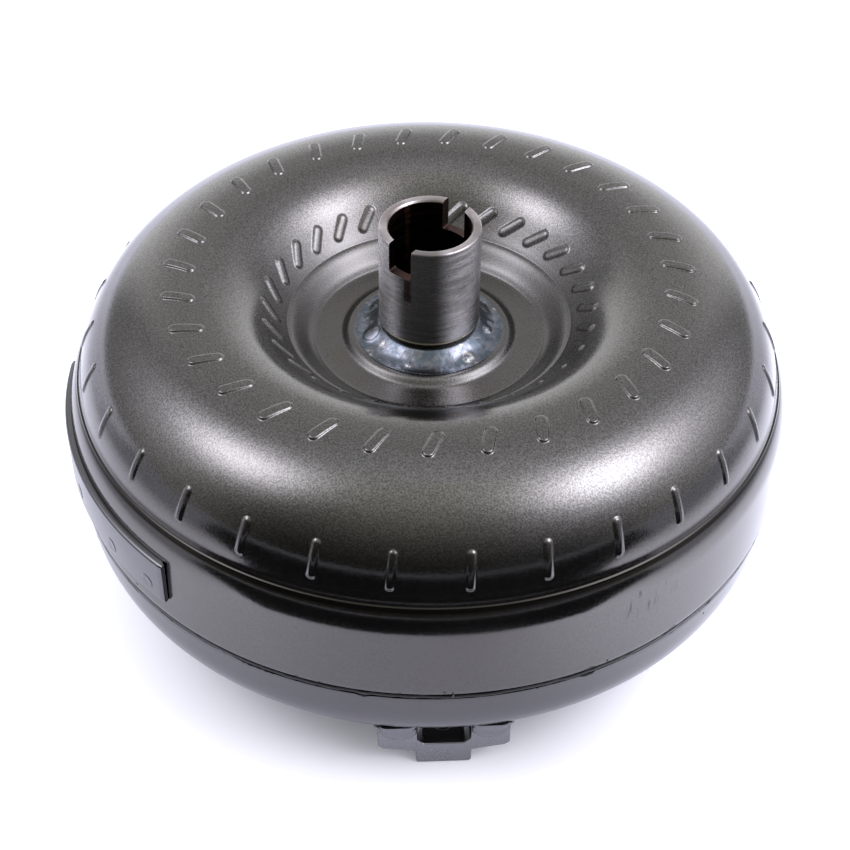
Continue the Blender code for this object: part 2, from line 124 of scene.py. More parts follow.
# ---- paint ----------------------------------------------------------------------
def paint(name, tone, roughness, grain=1.0, stains_and_groove_shade=False, runs=False, sunk_bead_shade=False, seam=None):
    """Dark metallic paint: sparkle in the film, faint orange peel and clouding."""
    mat, tree, shader, place = start_material(name, 1.0, roughness)
    fleck = clouds(tree, place, 1300.0, 1.0)
    coarse = clouds(tree, place, 620.0, 2.0)
    cloud = clouds(tree, place, 14.0, 4.0)
    peel = clouds(tree, place, 210.0, 1.0)
    dark = grey(*[t * (1.0 - 0.30 * grain) for t in tone])
    light = grey(*[t * (1.0 + 0.32 * grain) for t in tone])
    colour = blend_colour(tree, spread(tree, fleck, 0.3, 0.7), dark, light)
    angle, radius, height = around(tree, place)
    # the flakes lie flatter on the upright skirt, so it looks smoother than the torus
    colour = blend_colour(tree, spread(tree, radius, 0.158, 0.170, 0.0, 0.72), colour, grey(*tone))
    colour = blend_colour(tree, spread(tree, cloud, 0.35, 0.7, 0.0, 0.22), colour,
                          grey(tone[0] * 0.9, tone[1] * 0.88, tone[2] * 0.83))
    if stains_and_groove_shade:
        # heat-browned band round the foot of the hub and a few brown specks
        colour = blend_colour(tree, spread(tree, radius, 0.062, 0.088, 0.55, 0.0), colour,
                              grey(*[t * 0.72 for t in tone]))
        near = calc(tree, "MULTIPLY", spread(tree, radius, 0.0405, 0.0435), spread(tree, radius, 0.046, 0.058, 1.0, 0.0))
        near = calc(tree, "MULTIPLY", near, spread(tree, clouds(tree, place, 90.0), 0.35, 0.7))
        colour = blend_colour(tree, calc(tree, "MULTIPLY", near, 0.32), colour,
                              grey(0.098, 0.082, 0.062))
        speck = spread(tree, clouds(tree, place, 46.0, 2.0), 0.745, 0.775)
        colour = blend_colour(tree, calc(tree, "MULTIPLY", speck, 0.35), colour,
                              grey(0.10, 0.062, 0.045))
        # painted shade: the groove above the skirt is coloured near black, standing in for the shade in the crease
        painted_groove_shade = calc(tree, "MULTIPLY", spread(tree, height, 0.1136, 0.1146),
                      spread(tree, height, 0.1166, 0.1172, 1.0, 0.0))
        painted_groove_shade = calc(tree, "MULTIPLY", painted_groove_shade, spread(tree, radius, 0.1672, 0.1682))
        colour = blend_colour(tree, calc(tree, "MULTIPLY", painted_groove_shade, 0.88), colour, grey(0.024, 0.022, 0.018))
    if seam:
        # painted shade along the seam: an irregular near-black line a millimetre or so wide at the edge of the sheet,
        # standing in for the shaded gap
        edge, way_up = seam
        lap = clouds(tree, place, 62.0, 3.0, 0.7)
        reach = calc(tree, "MULTIPLY", calc(tree, "SUBTRACT", lap, 0.45), 0.0105 * way_up)
        gap = calc(tree, "MULTIPLY", calc(tree, "SUBTRACT", calc(tree, "SUBTRACT", height, edge), reach), way_up)
        painted_seam_shade = calc(tree, "MULTIPLY", spread(tree, gap, -0.00015, 0.0002, 1.0, 0.0), 0.93)
        colour = blend_colour(tree, painted_seam_shade, colour, grey(0.012, 0.012, 0.010))
    if sunk_bead_shade:
        # painted shade: where the bead lies below the sheet it is coloured near black, standing in for the shade in the
        # seam
        deep = calc(tree, "MULTIPLY", spread(tree, radius, 0.1731, 0.1738, 1.0, 0.0), 0.9)
        colour = blend_colour(tree, deep, colour, grey(0.018, 0.018, 0.016))
    if runs:
        # thin dried runs below the groove, in patches
        turn = node(tree, "ShaderNodeCombineXYZ",
                    {0: calc(tree, "MULTIPLY", angle, 0.1736), 2: calc(tree, "MULTIPLY", height, 0.12)})
        streak = spread(tree, clouds(tree, turn.outputs[0], 420.0, 2.0), 0.56, 0.66)
        patch = spread(tree, clouds(tree, place, 17.0, 2.0), 0.60, 0.68)
        spot = calc(tree, "MULTIPLY", spread(tree, angle, -1.09, -1.02),
                    spread(tree, angle, -0.93, -0.86, 1.0, 0.0))
        patch = calc(tree, "MAXIMUM", patch, spot)
        ragged = calc(tree, "ADD", height,
                      calc(tree, "MULTIPLY", clouds(tree, turn.outputs[0], 260.0, 3.0), 0.022))
        low = calc(tree, "MULTIPLY", spread(tree, ragged, 0.100, 0.105),
                   spread(tree, height, 0.1035, 0.106, 1.0, 0.0))
        mask = calc(tree, "MULTIPLY", calc(tree, "MULTIPLY", streak, patch), low)
        colour = blend_colour(tree, calc(tree, "MULTIPLY", mask, 0.62), colour, grey(0.030, 0.029, 0.028))
    tree.links.new(colour, shader.inputs["Base Color"])
    rough = spread(tree, cloud, 0.3, 0.75, roughness * 0.85, roughness * 1.25)
    rough = calc(tree, "ADD", rough, spread(tree, fleck, 0.35, 0.75, -0.02, 0.05))
    if stains_and_groove_shade:
        # the film went on dry in the recess, so it is duller there
        rough = calc(tree, "ADD", rough, spread(tree, radius, 0.066, 0.094, 0.125, 0.0))
    tree.links.new(rough, shader.inputs["Roughness"])
    normal = bump(tree, coarse, 0.14 * grain, 0.00012)
    sparkle = spread(tree, radius, 0.078, 0.112, 0.62, 0.31)
    sparkle = calc(tree, "MULTIPLY", sparkle, spread(tree, radius, 0.160, 0.170, 1.0, 0.22))
    normal = bump(tree, fleck, calc(tree, "MULTIPLY", sparkle, grain), 0.00007, normal)
    normal = bump(tree, peel, 0.05, 0.0003, normal)
    tree.links.new(normal, shader.inputs["Normal"])
    return mat


# ---- bare metals ------------------------------------------------------------------
def turned_steel(name, tone, roughness, lines=1.0, mark=None, brown=0.0, painted_foot_light_and_rim=False, ground_with_shade_strips=False,
                 mark_tone=(0.035, 0.016, 0.011)):
    """Steel with fine marks that run round the axis."""
    mat, tree, shader, place = start_material(name, 1.0, roughness)
    angle, radius, height = around(tree, place)
    lay = node(tree, "ShaderNodeCombineXYZ",
               {0: calc(tree, "MULTIPLY", angle, 0.0028), 1: calc(tree, "MULTIPLY", radius, 0.9), 2: height})
    fine = clouds(tree, lay.outputs[0], 3400.0, 3.0, 0.7)
    band = clouds(tree, lay.outputs[0], 520.0, 2.0)
    cloud = clouds(tree, place, 60.0, 4.0)
    colour = blend_colour(tree, spread(tree, fine, 0.3, 0.7),
                          grey(*[t * 0.82 for t in tone]), grey(*[t * 1.14 for t in tone]))
    colour = blend_colour(tree, spread(tree, cloud, 0.45, 0.75, 0.0, 0.35), colour,
                          grey(tone[0] * 0.75, tone[1] * 0.70, tone[2] * 0.64))
    if brown:
        colour = blend_colour(tree, calc(tree, "MULTIPLY", spread(tree, cloud, 0.3, 0.6), brown),
                              colour, grey(0.095, 0.042, 0.028))
    if ground_with_shade_strips:
        # painted shade: the turned face is coloured near black in strips round it; the strip at the front stands in for
        # the dark reflection there, and the others repeat it round the hub
        for middle, half, left in ((-101.0, 16.0, 0.20), (-9.0, 9.0, 0.34), (62.0, 20.0, 0.5), (148.0, 14.0, 0.45)):
            off = calc(tree, "ABSOLUTE", calc(tree, "SUBTRACT", angle, math.radians(middle)))
            shade_strip = spread(tree, off, math.radians(half), math.radians(half + 22.0), 1.0 - left, 0.0)
            colour = blend_colour(tree, shade_strip, colour, grey(0.030, 0.030, 0.027))
    if painted_foot_light_and_rim:
        # painted shade: the undercut above the weld is coloured dark; painted highlight: a pale line just above it
        # stands for the lit chamfer edge; and a brown tint on the worn rim
        low = spread(tree, height, 0.1386, 0.1393, 1.0, 0.0)
        colour = blend_colour(tree, calc(tree, "MULTIPLY", low, 0.85), colour, grey(0.045, 0.042, 0.03))
        # painted highlight: pale line at the foot of the ground face
        line = calc(tree, "MULTIPLY", spread(tree, height, 0.1386, 0.1390),
                    spread(tree, height, 0.1395, 0.1400, 1.0, 0.0))
        colour = blend_colour(tree, calc(tree, "MULTIPLY", line, 0.7), colour, grey(0.50, 0.46, 0.33))
        rim = calc(tree, "MULTIPLY", spread(tree, height, 0.1885, 0.1899), spread(tree, cloud, 0.3, 0.6, 0.35, 1.0))
        colour = blend_colour(tree, calc(tree, "MULTIPLY", rim, 0.75), colour, grey(0.26, 0.215, 0.20))
    if mark is not None:
        # a dark run of old oil under one slot: angle, half angle, low, high
        a, half, low, high = mark
        wave = calc(tree, "MULTIPLY", calc(tree, "SUBTRACT", clouds(tree, place, 260.0), 0.5), 0.10)
        off = calc(tree, "ABSOLUTE", calc(tree, "ADD", calc(tree, "SUBTRACT", angle, a), wave))
        side = spread(tree, off, half * 0.55, half, 1.0, 0.0)
        tall = calc(tree, "MULTIPLY", spread(tree, height, low, low + 0.0025),
                    spread(tree, height, high - 0.0012, high, 1.0, 0.0))
        colour = blend_colour(tree, calc(tree, "MULTIPLY", calc(tree, "MULTIPLY", side, tall), 0.82),
                              colour, grey(*mark_tone))
    tree.links.new(colour, shader.inputs["Base Color"])
    rough = spread(tree, band, 0.3, 0.7, roughness * 0.8, roughness * 1.3)
    tree.links.new(rough, shader.inputs["Roughness"])
    normal = bump(tree, fine, 0.16 * lines, 0.00003)
    normal = bump(tree, band, 0.12 * lines, 0.0001, normal)
    tree.links.new(normal, shader.inputs["Normal"])
    if ground_with_shade_strips:
        # grinding marks run round the hub, so its gloss is drawn out along the axis
        shader.inputs["Anisotropic"].default_value = 0.86
        shader.inputs["Anisotropic Rotation"].default_value = 0.25
        lie = node(tree, "ShaderNodeTangent", direction_type="RADIAL", axis="Z").outputs[0]
        tree.links.new(lie, shader.inputs["Tangent"])
    return mat


def plain_metal(name, tone, roughness, tint=None, grain=420.0, depth=0.12, stain=0.25, metallic=1.0):
    """Pressed, cast or drawn metal: clouded colour, fine grain and darker stains."""
    mat, tree, shader, place = start_material(name, metallic, roughness)
    tint = tint or [t * 0.7 for t in tone]
    cloud = clouds(tree, place, 55.0, 5.0)
    fine = clouds(tree, place, grain * 4.0, 2.0)
    body = clouds(tree, place, grain, 3.0)
    colour = blend_colour(tree, spread(tree, body, 0.3, 0.7), grey(*[t * 0.86 for t in tone]),
                          grey(*[t * 1.12 for t in tone]))
    colour = blend_colour(tree, spread(tree, cloud, 0.45, 0.75, 0.0, stain), colour, grey(*tint))
    tree.links.new(colour, shader.inputs["Base Color"])
    rough = spread(tree, cloud, 0.3, 0.7, roughness * 0.8, min(1.0, roughness * 1.25))
    tree.links.new(rough, shader.inputs["Roughness"])
    normal = bump(tree, body, depth, 0.0002)
    normal = bump(tree, fine, depth * 0.8, 0.00005, normal)
    tree.links.new(normal, shader.inputs["Normal"])
    return mat


def weld_metal(name, tone, blue, roughness, ripple):
    """Weld metal, blued by heat in patches, with the ripples of the pool."""
    mat, tree, shader, place = start_material(name, 1.0, roughness)
    angle, radius, height = around(tree, place)
    patch = clouds(tree, place, 175.0, 5.0, 0.68)
    fine = clouds(tree, place, 900.0, 3.0, 0.7)
    colour = blend_colour(tree, spread(tree, patch, 0.38, 0.62), grey(*tone), grey(*blue))
    colour = blend_colour(tree, spread(tree, clouds(tree, place, 210.0, 3.0), 0.60, 0.72, 0.0, 0.8),
                          colour, grey(0.46, 0.44, 0.40))
    colour = blend_colour(tree, spread(tree, clouds(tree, place, 170.0, 3.0), 0.60, 0.70, 0.0, 0.7),
                          colour, grey(0.05, 0.047, 0.045))
    colour = blend_colour(tree, spread(tree, fine, 0.35, 0.75, 0.0, 0.35), colour, grey(0.09, 0.10, 0.115))
    # scale left on the last pools of the run, pale cream, and a smooth one with a dark rim of painted shade round its
    # foot
    for deg, out, size, pale in ((-52.0, 30.3, 3.6, True), (-107.0, 30.6, 2.2, True), (-8.0, 28.4, 2.6, True),
                                 (62.0, 29.0, 3.4, True), (-163.0, 28.4, 4.1, False)):
        spot = (out * MM * math.cos(math.radians(deg)), out * MM * math.sin(math.radians(deg)))
        flat = node(tree, "ShaderNodeVectorMath", {0: place, 1: (1, 1, 0)}, operation="MULTIPLY").outputs[0]
        gap = node(tree, "ShaderNodeVectorMath", {0: flat, 1: (spot[0], spot[1], 0)}, operation="DISTANCE").outputs["Value"]
        if pale:
            near = spread(tree, gap, size * MM * 0.55, size * MM, 1.0, 0.0)
            near = calc(tree, "MULTIPLY", near, spread(tree, clouds(tree, place, 620.0, 3.0), 0.40, 0.56))
            colour = blend_colour(tree, calc(tree, "MULTIPLY", near, 0.85), colour, grey(0.50, 0.48, 0.44))
        else:
            # painted shade: a dark line round the smooth dome, where shade falls at its foot
            line = calc(tree, "MULTIPLY", spread(tree, gap, size * MM * 0.84, size * MM * 0.93),
                        spread(tree, gap, size * MM, size * MM * 1.1, 1.0, 0.0))
            colour = blend_colour(tree, spread(tree, gap, size * MM * 0.7, size * MM * 0.9, 0.75, 0.0), colour,
                                  grey(0.17, 0.172, 0.19))
            colour = blend_colour(tree, calc(tree, "MULTIPLY", line, 0.8), colour, grey(0.028, 0.027, 0.026))
    tree.links.new(colour, shader.inputs["Base Color"])
    tree.links.new(spread(tree, patch, 0.3, 0.7, roughness * 0.75, roughness * 1.35),
                   shader.inputs["Roughness"])
    wave = calc(tree, "SINE", calc(tree, "ADD", calc(tree, "MULTIPLY", angle, ripple),
                                   calc(tree, "MULTIPLY", radius, 900.0)))
    normal = bump(tree, calc(tree, "ADD", calc(tree, "MULTIPLY", wave, 0.02), patch), 0.34, 0.0004)
    normal = bump(tree, fine, 0.30, 0.00010, normal)
    tree.links.new(normal, shader.inputs["Normal"])
    return mat


def friction_paper(name):
    mat, tree, shader, place = start_material(name, 0.0, 0.88)
    fibre = clouds(tree, stretched(tree, place, (1.0, 3.0, 1.0)), 1300.0, 5.0, 0.7)
    cloud = clouds(tree, place, 90.0, 3.0)
    colour = blend_colour(tree, spread(tree, fibre, 0.3, 0.7), grey(0.07, 0.045, 0.028), grey(0.17, 0.115, 0.07))
    colour = blend_colour(tree, spread(tree, cloud, 0.5, 0.8, 0.0, 0.5), colour, grey(0.05, 0.04, 0.03))
    tree.links.new(colour, shader.inputs["Base Color"])
    tree.links.new(bump(tree, fibre, 0.5, 0.0002), shader.inputs["Normal"])
    return mat


SHELL = paint("shell_paint_film", (0.128, 0.1235, 0.117), 0.15, 1.0, stains_and_groove_shade=True, runs=True, seam=(0.0660, 1))
COVER = paint("cover_paint_film", (0.128, 0.1255, 0.124), 0.15, 0.6, seam=(0.0640, -1))
LUG = paint("lug_paint_film", (0.27, 0.268, 0.276), 0.27, 0.16)
LUG_WELD = paint("lug_weld_film", (0.235, 0.234, 0.245), 0.16, 0.3)
WEIGHT = paint("weight_paint_film", (0.135, 0.134, 0.138), 0.17, 0.5)
SEAM = paint("seam_paint_film", (0.13, 0.128, 0.127), 0.18, 0.9, sunk_bead_shade=True)
SPATTER = paint("spatter_paint_film", (0.13, 0.128, 0.127), 0.18, 0.6)
HUB = turned_steel("hub_ground_steel", (0.74, 0.73, 0.755), 0.26, 0.30, ground_with_shade_strips=True,
                   mark=(math.radians(-115.2), math.radians(5.5), 0.1610, 0.1750), painted_foot_light_and_rim=True)
BORE = turned_steel("hub_bore_steel", (0.024, 0.017, 0.015), 0.30, 0.6, brown=0.35,
                    mark=(math.radians(123.6), math.radians(5.0), 0.120, 0.200), mark_tone=(0.26, 0.12, 0.07))
HUB_WELD = weld_metal("hub_weld_bead", (0.155, 0.160, 0.180), (0.078, 0.098, 0.116), 0.25, 110.0)
PILOT = turned_steel("pilot_turned_steel", (0.36, 0.35, 0.34), 0.3)

INNER = {
    "impeller_vanes": plain_metal("vane_steel", (0.34, 0.34, 0.35), 0.38, grain=500.0),
    "turbine_shell": plain_metal("turbine_steel", (0.30, 0.30, 0.31), 0.36, grain=420.0),
    "turbine_vanes": plain_metal("turbine_vane_steel", (0.36, 0.35, 0.34), 0.38, grain=520.0),
    "turbine_hub": turned_steel("turbine_hub_steel", (0.42, 0.41, 0.40), 0.3),
    "damper_driven_plate": plain_metal("driven_plate_steel", (0.30, 0.29, 0.28), 0.4),
    "piston_seal": plain_metal("seal_polymer", (0.16, 0.12, 0.08), 0.6, metallic=0.0, depth=0.08),
    "lockup_piston": turned_steel("piston_steel", (0.36, 0.36, 0.37), 0.34),
    "friction_lining": friction_paper("lining_paper"),
    "spring_retainer": plain_metal("retainer_steel", (0.27, 0.27, 0.29), 0.42),
    "stator_wheel": plain_metal("stator_casting", (0.55, 0.55, 0.56), 0.5, grain=260.0, depth=0.3, stain=0.15),
    "stator_cam_race": turned_steel("cam_race_steel", (0.42, 0.42, 0.43), 0.26),
    "roller_cage": plain_metal("cage_steel", (0.36, 0.34, 0.30), 0.36),
    "stator_inner_race": turned_steel("inner_race_steel", (0.40, 0.39, 0.38), 0.24),
    "stator_front_cap": plain_metal("cap_casting", (0.52, 0.52, 0.53), 0.48, grain=300.0),
    "stator_rear_cap": plain_metal("rear_cap_casting", (0.50, 0.50, 0.51), 0.48, grain=300.0),
    "cover_thrust_washer": plain_metal("washer_polymer", (0.22, 0.18, 0.11), 0.6, metallic=0.0, depth=0.06),
    "turbine_bearing_race": turned_steel("race_steel_1", (0.46, 0.46, 0.47), 0.22),
    "turbine_bearing_cage": plain_metal("needle_cage_1", (0.44, 0.38, 0.26), 0.34),
    "stator_front_bearing_race": turned_steel("race_steel_2", (0.46, 0.46, 0.47), 0.22),
    "stator_rear_bearing_race": turned_steel("race_steel_3", (0.46, 0.46, 0.47), 0.22),
    "impeller_bearing_cage": plain_metal("needle_cage_2", (0.44, 0.38, 0.26), 0.34),
    "impeller_bearing_race": turned_steel("race_steel_4", (0.46, 0.46, 0.47), 0.22),
}
spring_look = plain_metal("spring_wire", (0.20, 0.205, 0.23), 0.32, grain=700.0)
for name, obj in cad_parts.items():
    look = INNER.get(name, spring_look if name.startswith("damper_spring") else None)
    if look is not None:
        obj.data.materials.clear()
        obj.data.materials.append(look)


# ---- mesh helpers -----------------------------------------------------------------
def piece(name, verts, faces, mats, body="housing", stands_for=(), smooth=38.0, weld=0.0):
    """One object from points in mm."""
    bm = bmesh.new()
    made = [bm.verts.new((x * MM, y * MM, z * MM)) for x, y, z in verts]
    for face in faces:
        try:
            bm.faces.new([made[i] for i in face])
        except ValueError:
            pass
    if weld:
        bmesh.ops.remove_doubles(bm, verts=bm.verts, dist=weld * MM)
    bmesh.ops.recalc_face_normals(bm, faces=bm.faces)
    mesh = bpy.data.meshes.new(name)
    bm.to_mesh(mesh)
    bm.free()
    obj = bpy.data.objects.new(name, mesh)
    scene.collection.objects.link(obj)
    for mat in mats:
        mesh.materials.append(mat)
    mesh.shade_smooth()
    mesh.set_sharp_from_angle(angle=math.radians(smooth))
    if body:
        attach(obj, body)
    if stands_for:
        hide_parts(*stands_for)
    return obj


def spun(loop, segments, shift=None):
    """A closed section (R, Z) turned about the axis."""
    n = len(loop)
    verts, faces = [], []
    for i in range(segments):
        a = 2 * math.pi * i / segments
        c, s = math.cos(a), math.sin(a)
        for j, (r, z) in enumerate(loop):
            if shift:
                r, z = shift(j, r, z, a)
            verts.append((r * c, r * s, z))
    for i in range(segments):
        k = (i + 1) % segments
        for j in range(n):
            m = (j + 1) % n
            faces.append((i * n + j, k * n + j, k * n + m, i * n + m))
    return verts, faces


def spun_disc(profile, segments, shift=None):
    """An open section that starts and ends on the axis."""
    body = profile[1:-1]
    n = len(body)
    verts, faces = [(0, 0, profile[0][1])], []
    for i in range(segments):
        a = 2 * math.pi * i / segments
        for j, (r, z) in enumerate(body):
            if shift:
                r, z = shift(j, r, z, a)
            verts.append((r * math.cos(a), r * math.sin(a), z))
    verts.append((0, 0, profile[-1][1]))
    last = len(verts) - 1
    for i in range(segments):
        k = (i + 1) % segments
        faces.append((0, 1 + k * n, 1 + i * n))
        for j in range(n - 1):
            faces.append((1 + i * n + j, 1 + k * n + j, 1 + k * n + j + 1, 1 + i * n + j + 1))
        faces.append((last, 1 + i * n + n - 1, 1 + k * n + n - 1))
    return verts, faces


def fair(points, step):
    """A cubic B-spline led by the points, sampled about every step mm."""
    pts = [points[0], points[0]] + list(points) + [points[-1], points[-1]]
    out = []
    for i in range(1, len(pts) - 2):
        p = pts[i - 1:i + 3]
        span = math.dist(p[1], p[2])
        for k in range(max(1, round(span / step))):
            t = k / max(1, round(span / step))
            w = ((1 - t) ** 3 / 6, (3 * t**3 - 6 * t * t + 4) / 6,
                 (-3 * t**3 + 3 * t * t + 3 * t + 1) / 6, t**3 / 6)
            out.append((sum(a * q[0] for a, q in zip(w, p)), sum(a * q[1] for a, q in zip(w, p))))
    out.append(tuple(points[-1]))
    clean = [out[0]]
    for q in out[1:]:
        if math.dist(q, clean[-1]) > step * 0.2:
            clean.append(q)
    return clean


def rounded(loop, radius, steps=3):
    """A closed section with every corner rounded."""
    out = []
    n = len(loop)
    for i in range(n):
        a, b, c = Vector(loop[i - 1]), Vector(loop[i]), Vector(loop[(i + 1) % n])
        cut = min(radius, (a - b).length * 0.45, (c - b).length * 0.45)
        p, q = b + (a - b).normalized() * cut, b + (c - b).normalized() * cut
        for k in range(steps + 1):
            t = k / steps
            out.append(tuple((1 - t) ** 2 * p + 2 * t * (1 - t) * b + t * t * q))
    return out


def arc(cr, cz, radius, start, end, count):
    return [(cr + radius * math.cos(math.radians(start + (end - start) * i / (count - 1))),
             cz + radius * math.sin(math.radians(start + (end - start) * i / (count - 1))))
            for i in range(count)]


def wander(a, height, scale, seed):
    """Smooth noise, -1 to 1, that closes round the axis."""
    return noise.noise(Vector((math.cos(a) * scale, math.sin(a) * scale, height + seed * 7.31)))


# ---- impeller shell ------------------------------------------------------------------
outside = fair(
    [(24.3, 127.5), (30, 127.5), (32.4, 127.8), (33.3, 128.6), (34.2, 129.7), (35.2, 130.5), (36.4, 130.9), (37.6, 130.9),
     (38.7, 130.5), (39.7, 129.7), (40.6, 128.7), (41.3, 128.1), (42.2, 127.78), (43.5, 127.68), (46, 127.6), (51, 127.5),
     (53.6, 127.5), (54.3, 127.52), (54.7, 127.62), (55.0, 127.85), (55.5, 128.2), (56.4, 128.55), (57.6, 129.2),
     (59.2, 130.5), (61.2, 132.5), (63.2, 134.5), (65.0, 135.9), (66.4, 136.6), (67.0, 136.75), (67.35, 136.78),
     (67.6, 136.9), (67.9, 137.25), (68.6, 138.0), (69.8, 139.1), (71.5, 140.7),
     (75.9, 145.2), (80.4, 149.9), (85, 153.8), (90.5, 157.4), (96, 159.9), (102, 161.7), (108, 162.35)]
    + arc(115.8, 110.7, 51.8, 90, 9, 28)
    + [(167.75, 117.4), (167.85, 116.8), (167.95, 116.5), (168.25, 116.38), (168.6, 116.3), (168.8, 116.1), (168.82, 115.8), (169.0, 115.4), (169.5, 114.7), (170.3, 113.2),
       (171.0, 111.6), (171.6, 109.9), (172.1, 108.1), (172.5, 106.3), (172.78, 104.5), (172.93, 102.8),
       (173.0, 101.2), (173.1, 98), (173.25, 93), (173.4, 87), (173.52, 80), (173.6, 73), (173.6, 68.5),
       (173.55, 67.2), (173.3, 66.5), (172.8, 66.2)], 1.0)
inside = ([(170.6, 66.2), (170.4, 66.9), (170.4, 80.0), (169.8, 101.5), (167.6, 109.0)]
          + arc(115.8, 110.7, 48.6, 14, 90, 12)
          + [(103.0, 158.5), (92.0, 154.4), (82.5, 147.4), (68.6, 133.4), (57.0, 124.3), (24.3, 124.3)])

length = [0.0]
for p, q in zip(outside[:-1], outside[1:]):
    length.append(length[-1] + math.dist(p, q))


def on_profile(s):
    """Point and outward normal of the outside at arc length s."""
    lo, hi = 0, len(length) - 2
    while lo < hi:
        mid = (lo + hi + 1) // 2
        if length[mid] <= s:
            lo = mid
        else:
            hi = mid - 1
    t = (s - length[lo]) / (length[lo + 1] - length[lo])

    def way(i):
        i = min(max(i, 0), len(outside) - 2)
        d = Vector(outside[i + 1]) - Vector(outside[i])
        return d.normalized()

    tangent = (way(lo - 1) * max(0, 0.5 - t) + way(lo) + way(lo + 1) * max(0, t - 0.5)).normalized()
    r = outside[lo][0] + t * (outside[lo + 1][0] - outside[lo][0])
    z = outside[lo][1] + t * (outside[lo + 1][1] - outside[lo][1])
    return r, z, -tangent[1], tangent[0]


def length_at(radius):
    for i in range(len(outside) - 1):
        if outside[i][0] <= radius <= outside[i + 1][0] and outside[i + 1][0] > outside[i][0]:
            t = (radius - outside[i][0]) / (outside[i + 1][0] - outside[i][0])
            return length[i] + t * (length[i + 1] - length[i])
    raise ValueError(radius)


def on_shell(s, a, lift):
    r, z, nr, nz = on_profile(s)
    r, z = r + nr * lift, z + nz * lift
    return (r * math.cos(a), r * math.sin(a), z)


def shell_ripple(j, r, z, a):
    """Pressed sheet is never quite true: a twentieth of a millimetre of wander."""
    if r > 60 and j < len(outside):
        d = 0.10 * wander(a, z * 0.02, 2.2, 1)
        return r + d, z
    return r, z


verts, faces = spun(outside + inside, 300)
piece("impeller_shell_skin", verts, faces, [SHELL], stands_for=["impeller_shell"], smooth=50)

# Raised tab marks, one stadium-shaped dome per vane and ring
TAB_RINGS = (
    (70.9, 72.6, 79.4, 64.8, 5.9, 0.80, "round"),
    (109.4, -110.4, 125.5, -113.6, 6.6, 0.95, "flat"),
    (158.2, -187.6, 166.0, -188.1, 4.6, 0.75, "round"),
)
DOMES = {
    "round": ((0.0, 1.0), (0.18, 0.985), (0.32, 0.93), (0.44, 0.84), (0.56, 0.69), (0.67, 0.50),
              (0.77, 0.31), (0.86, 0.16), (0.95, 0.06), (1.05, 0.01), (1.13, -0.05), (1.13, -0.5)),
    "flat": ((0.0, 0.97), (0.30, 1.0), (0.52, 1.0), (0.60, 0.96), (0.66, 0.84), (0.72, 0.62),
             (0.78, 0.36), (0.84, 0.15), (0.91, 0.04), (1.0, 0.0), (1.06, -0.05), (1.06, -0.5)),
}


def tab_mark(verts, faces, r0, a0, r1, a1, width, high, dome, rng):
    s0, s1 = length_at(r0), length_at(r1)
    sc, ac = (s0 + s1) / 2, math.radians((a0 + a1) / 2)
    rc = on_profile(sc)[0]
    ds, dc = s1 - s0, math.radians(a1 - a0) * rc
    full = math.hypot(ds, dc)
    along, across = (ds / full, dc / full), (-dc / full, ds / full)
    half, w = full / 2, width / 2
    core = half - w
    rim = []
    for k in range(9):
        t = math.pi * k / 8 - math.pi / 2
        rim.append((core, math.cos(t), math.sin(t)))
    for k in range(1, 8):
        rim.append((core - 2 * core * k / 8, 0.0, 1.0))
    for k in range(9):
        t = math.pi * k / 8 + math.pi / 2
        rim.append((-core, math.cos(t), math.sin(t)))
    for k in range(1, 8):
        rim.append((-core + 2 * core * k / 8, 0.0, -1.0))
    base = len(verts)
    lean = rng.uniform(-0.06, 0.06)
    tall = high * rng.uniform(0.9, 1.08)
    for reach, up in dome:
        for m, eu, ev in rim:
            u = m + eu * w * reach
            v = ev * w * reach + lean * u * 0.3
            s = sc + u * along[0] + v * across[0]
            c = u * along[1] + v * across[1]
            # the mark is deeper towards its outer end, as the punch leaves it
            deep = 1.0 + 0.12 * u / half
            verts.append(on_shell(s, ac + c / on_profile(s)[0], up * (tall * deep if up > 0 else 1.0)))
    n = len(rim)
    for ring in range(len(dome) - 1):
        for k in range(n):
            m = (k + 1) % n
            p, q = base + ring * n, base + (ring + 1) * n
            faces.append((p + k, p + m, q + m, q + k))
    q = base + (len(dome) - 1) * n
    faces.append(tuple(q + k for k in range(n)))


rng = random.Random(4)
verts, faces = [], []
for r0, a0, r1, a1, width, high, shape in TAB_RINGS:
    for i in range(31):
        turn = 360.0 * i / 31
        tab_mark(verts, faces, r0, a0 + turn, r1, a1 + turn, width, high, DOMES[shape], rng)
piece("vane_tab_marks", verts, faces, [SHELL], smooth=60, weld=0.004)

# ---- pump-drive hub --------------------------------------------------------------------
hub_loop = rounded(
    [(19.35, 120.6), (37.8, 120.6), (37.8, 123.9), (23.25, 123.9), (23.25, 137.7), (23.75, 138.1), (24.1, 138.45), (24.1, 138.75), (23.8, 139.3), (23.8, 155.0),
     (23.8, 172.0), (23.8, 189.6), (23.25, 190.35), (20.3, 190.35), (19.35, 189.2)], 0.25, 2)
verts, faces = spun(hub_loop, 160)
hub = piece("pump_drive_hub", verts, faces, [HUB, BORE], stands_for=["impeller_hub"])

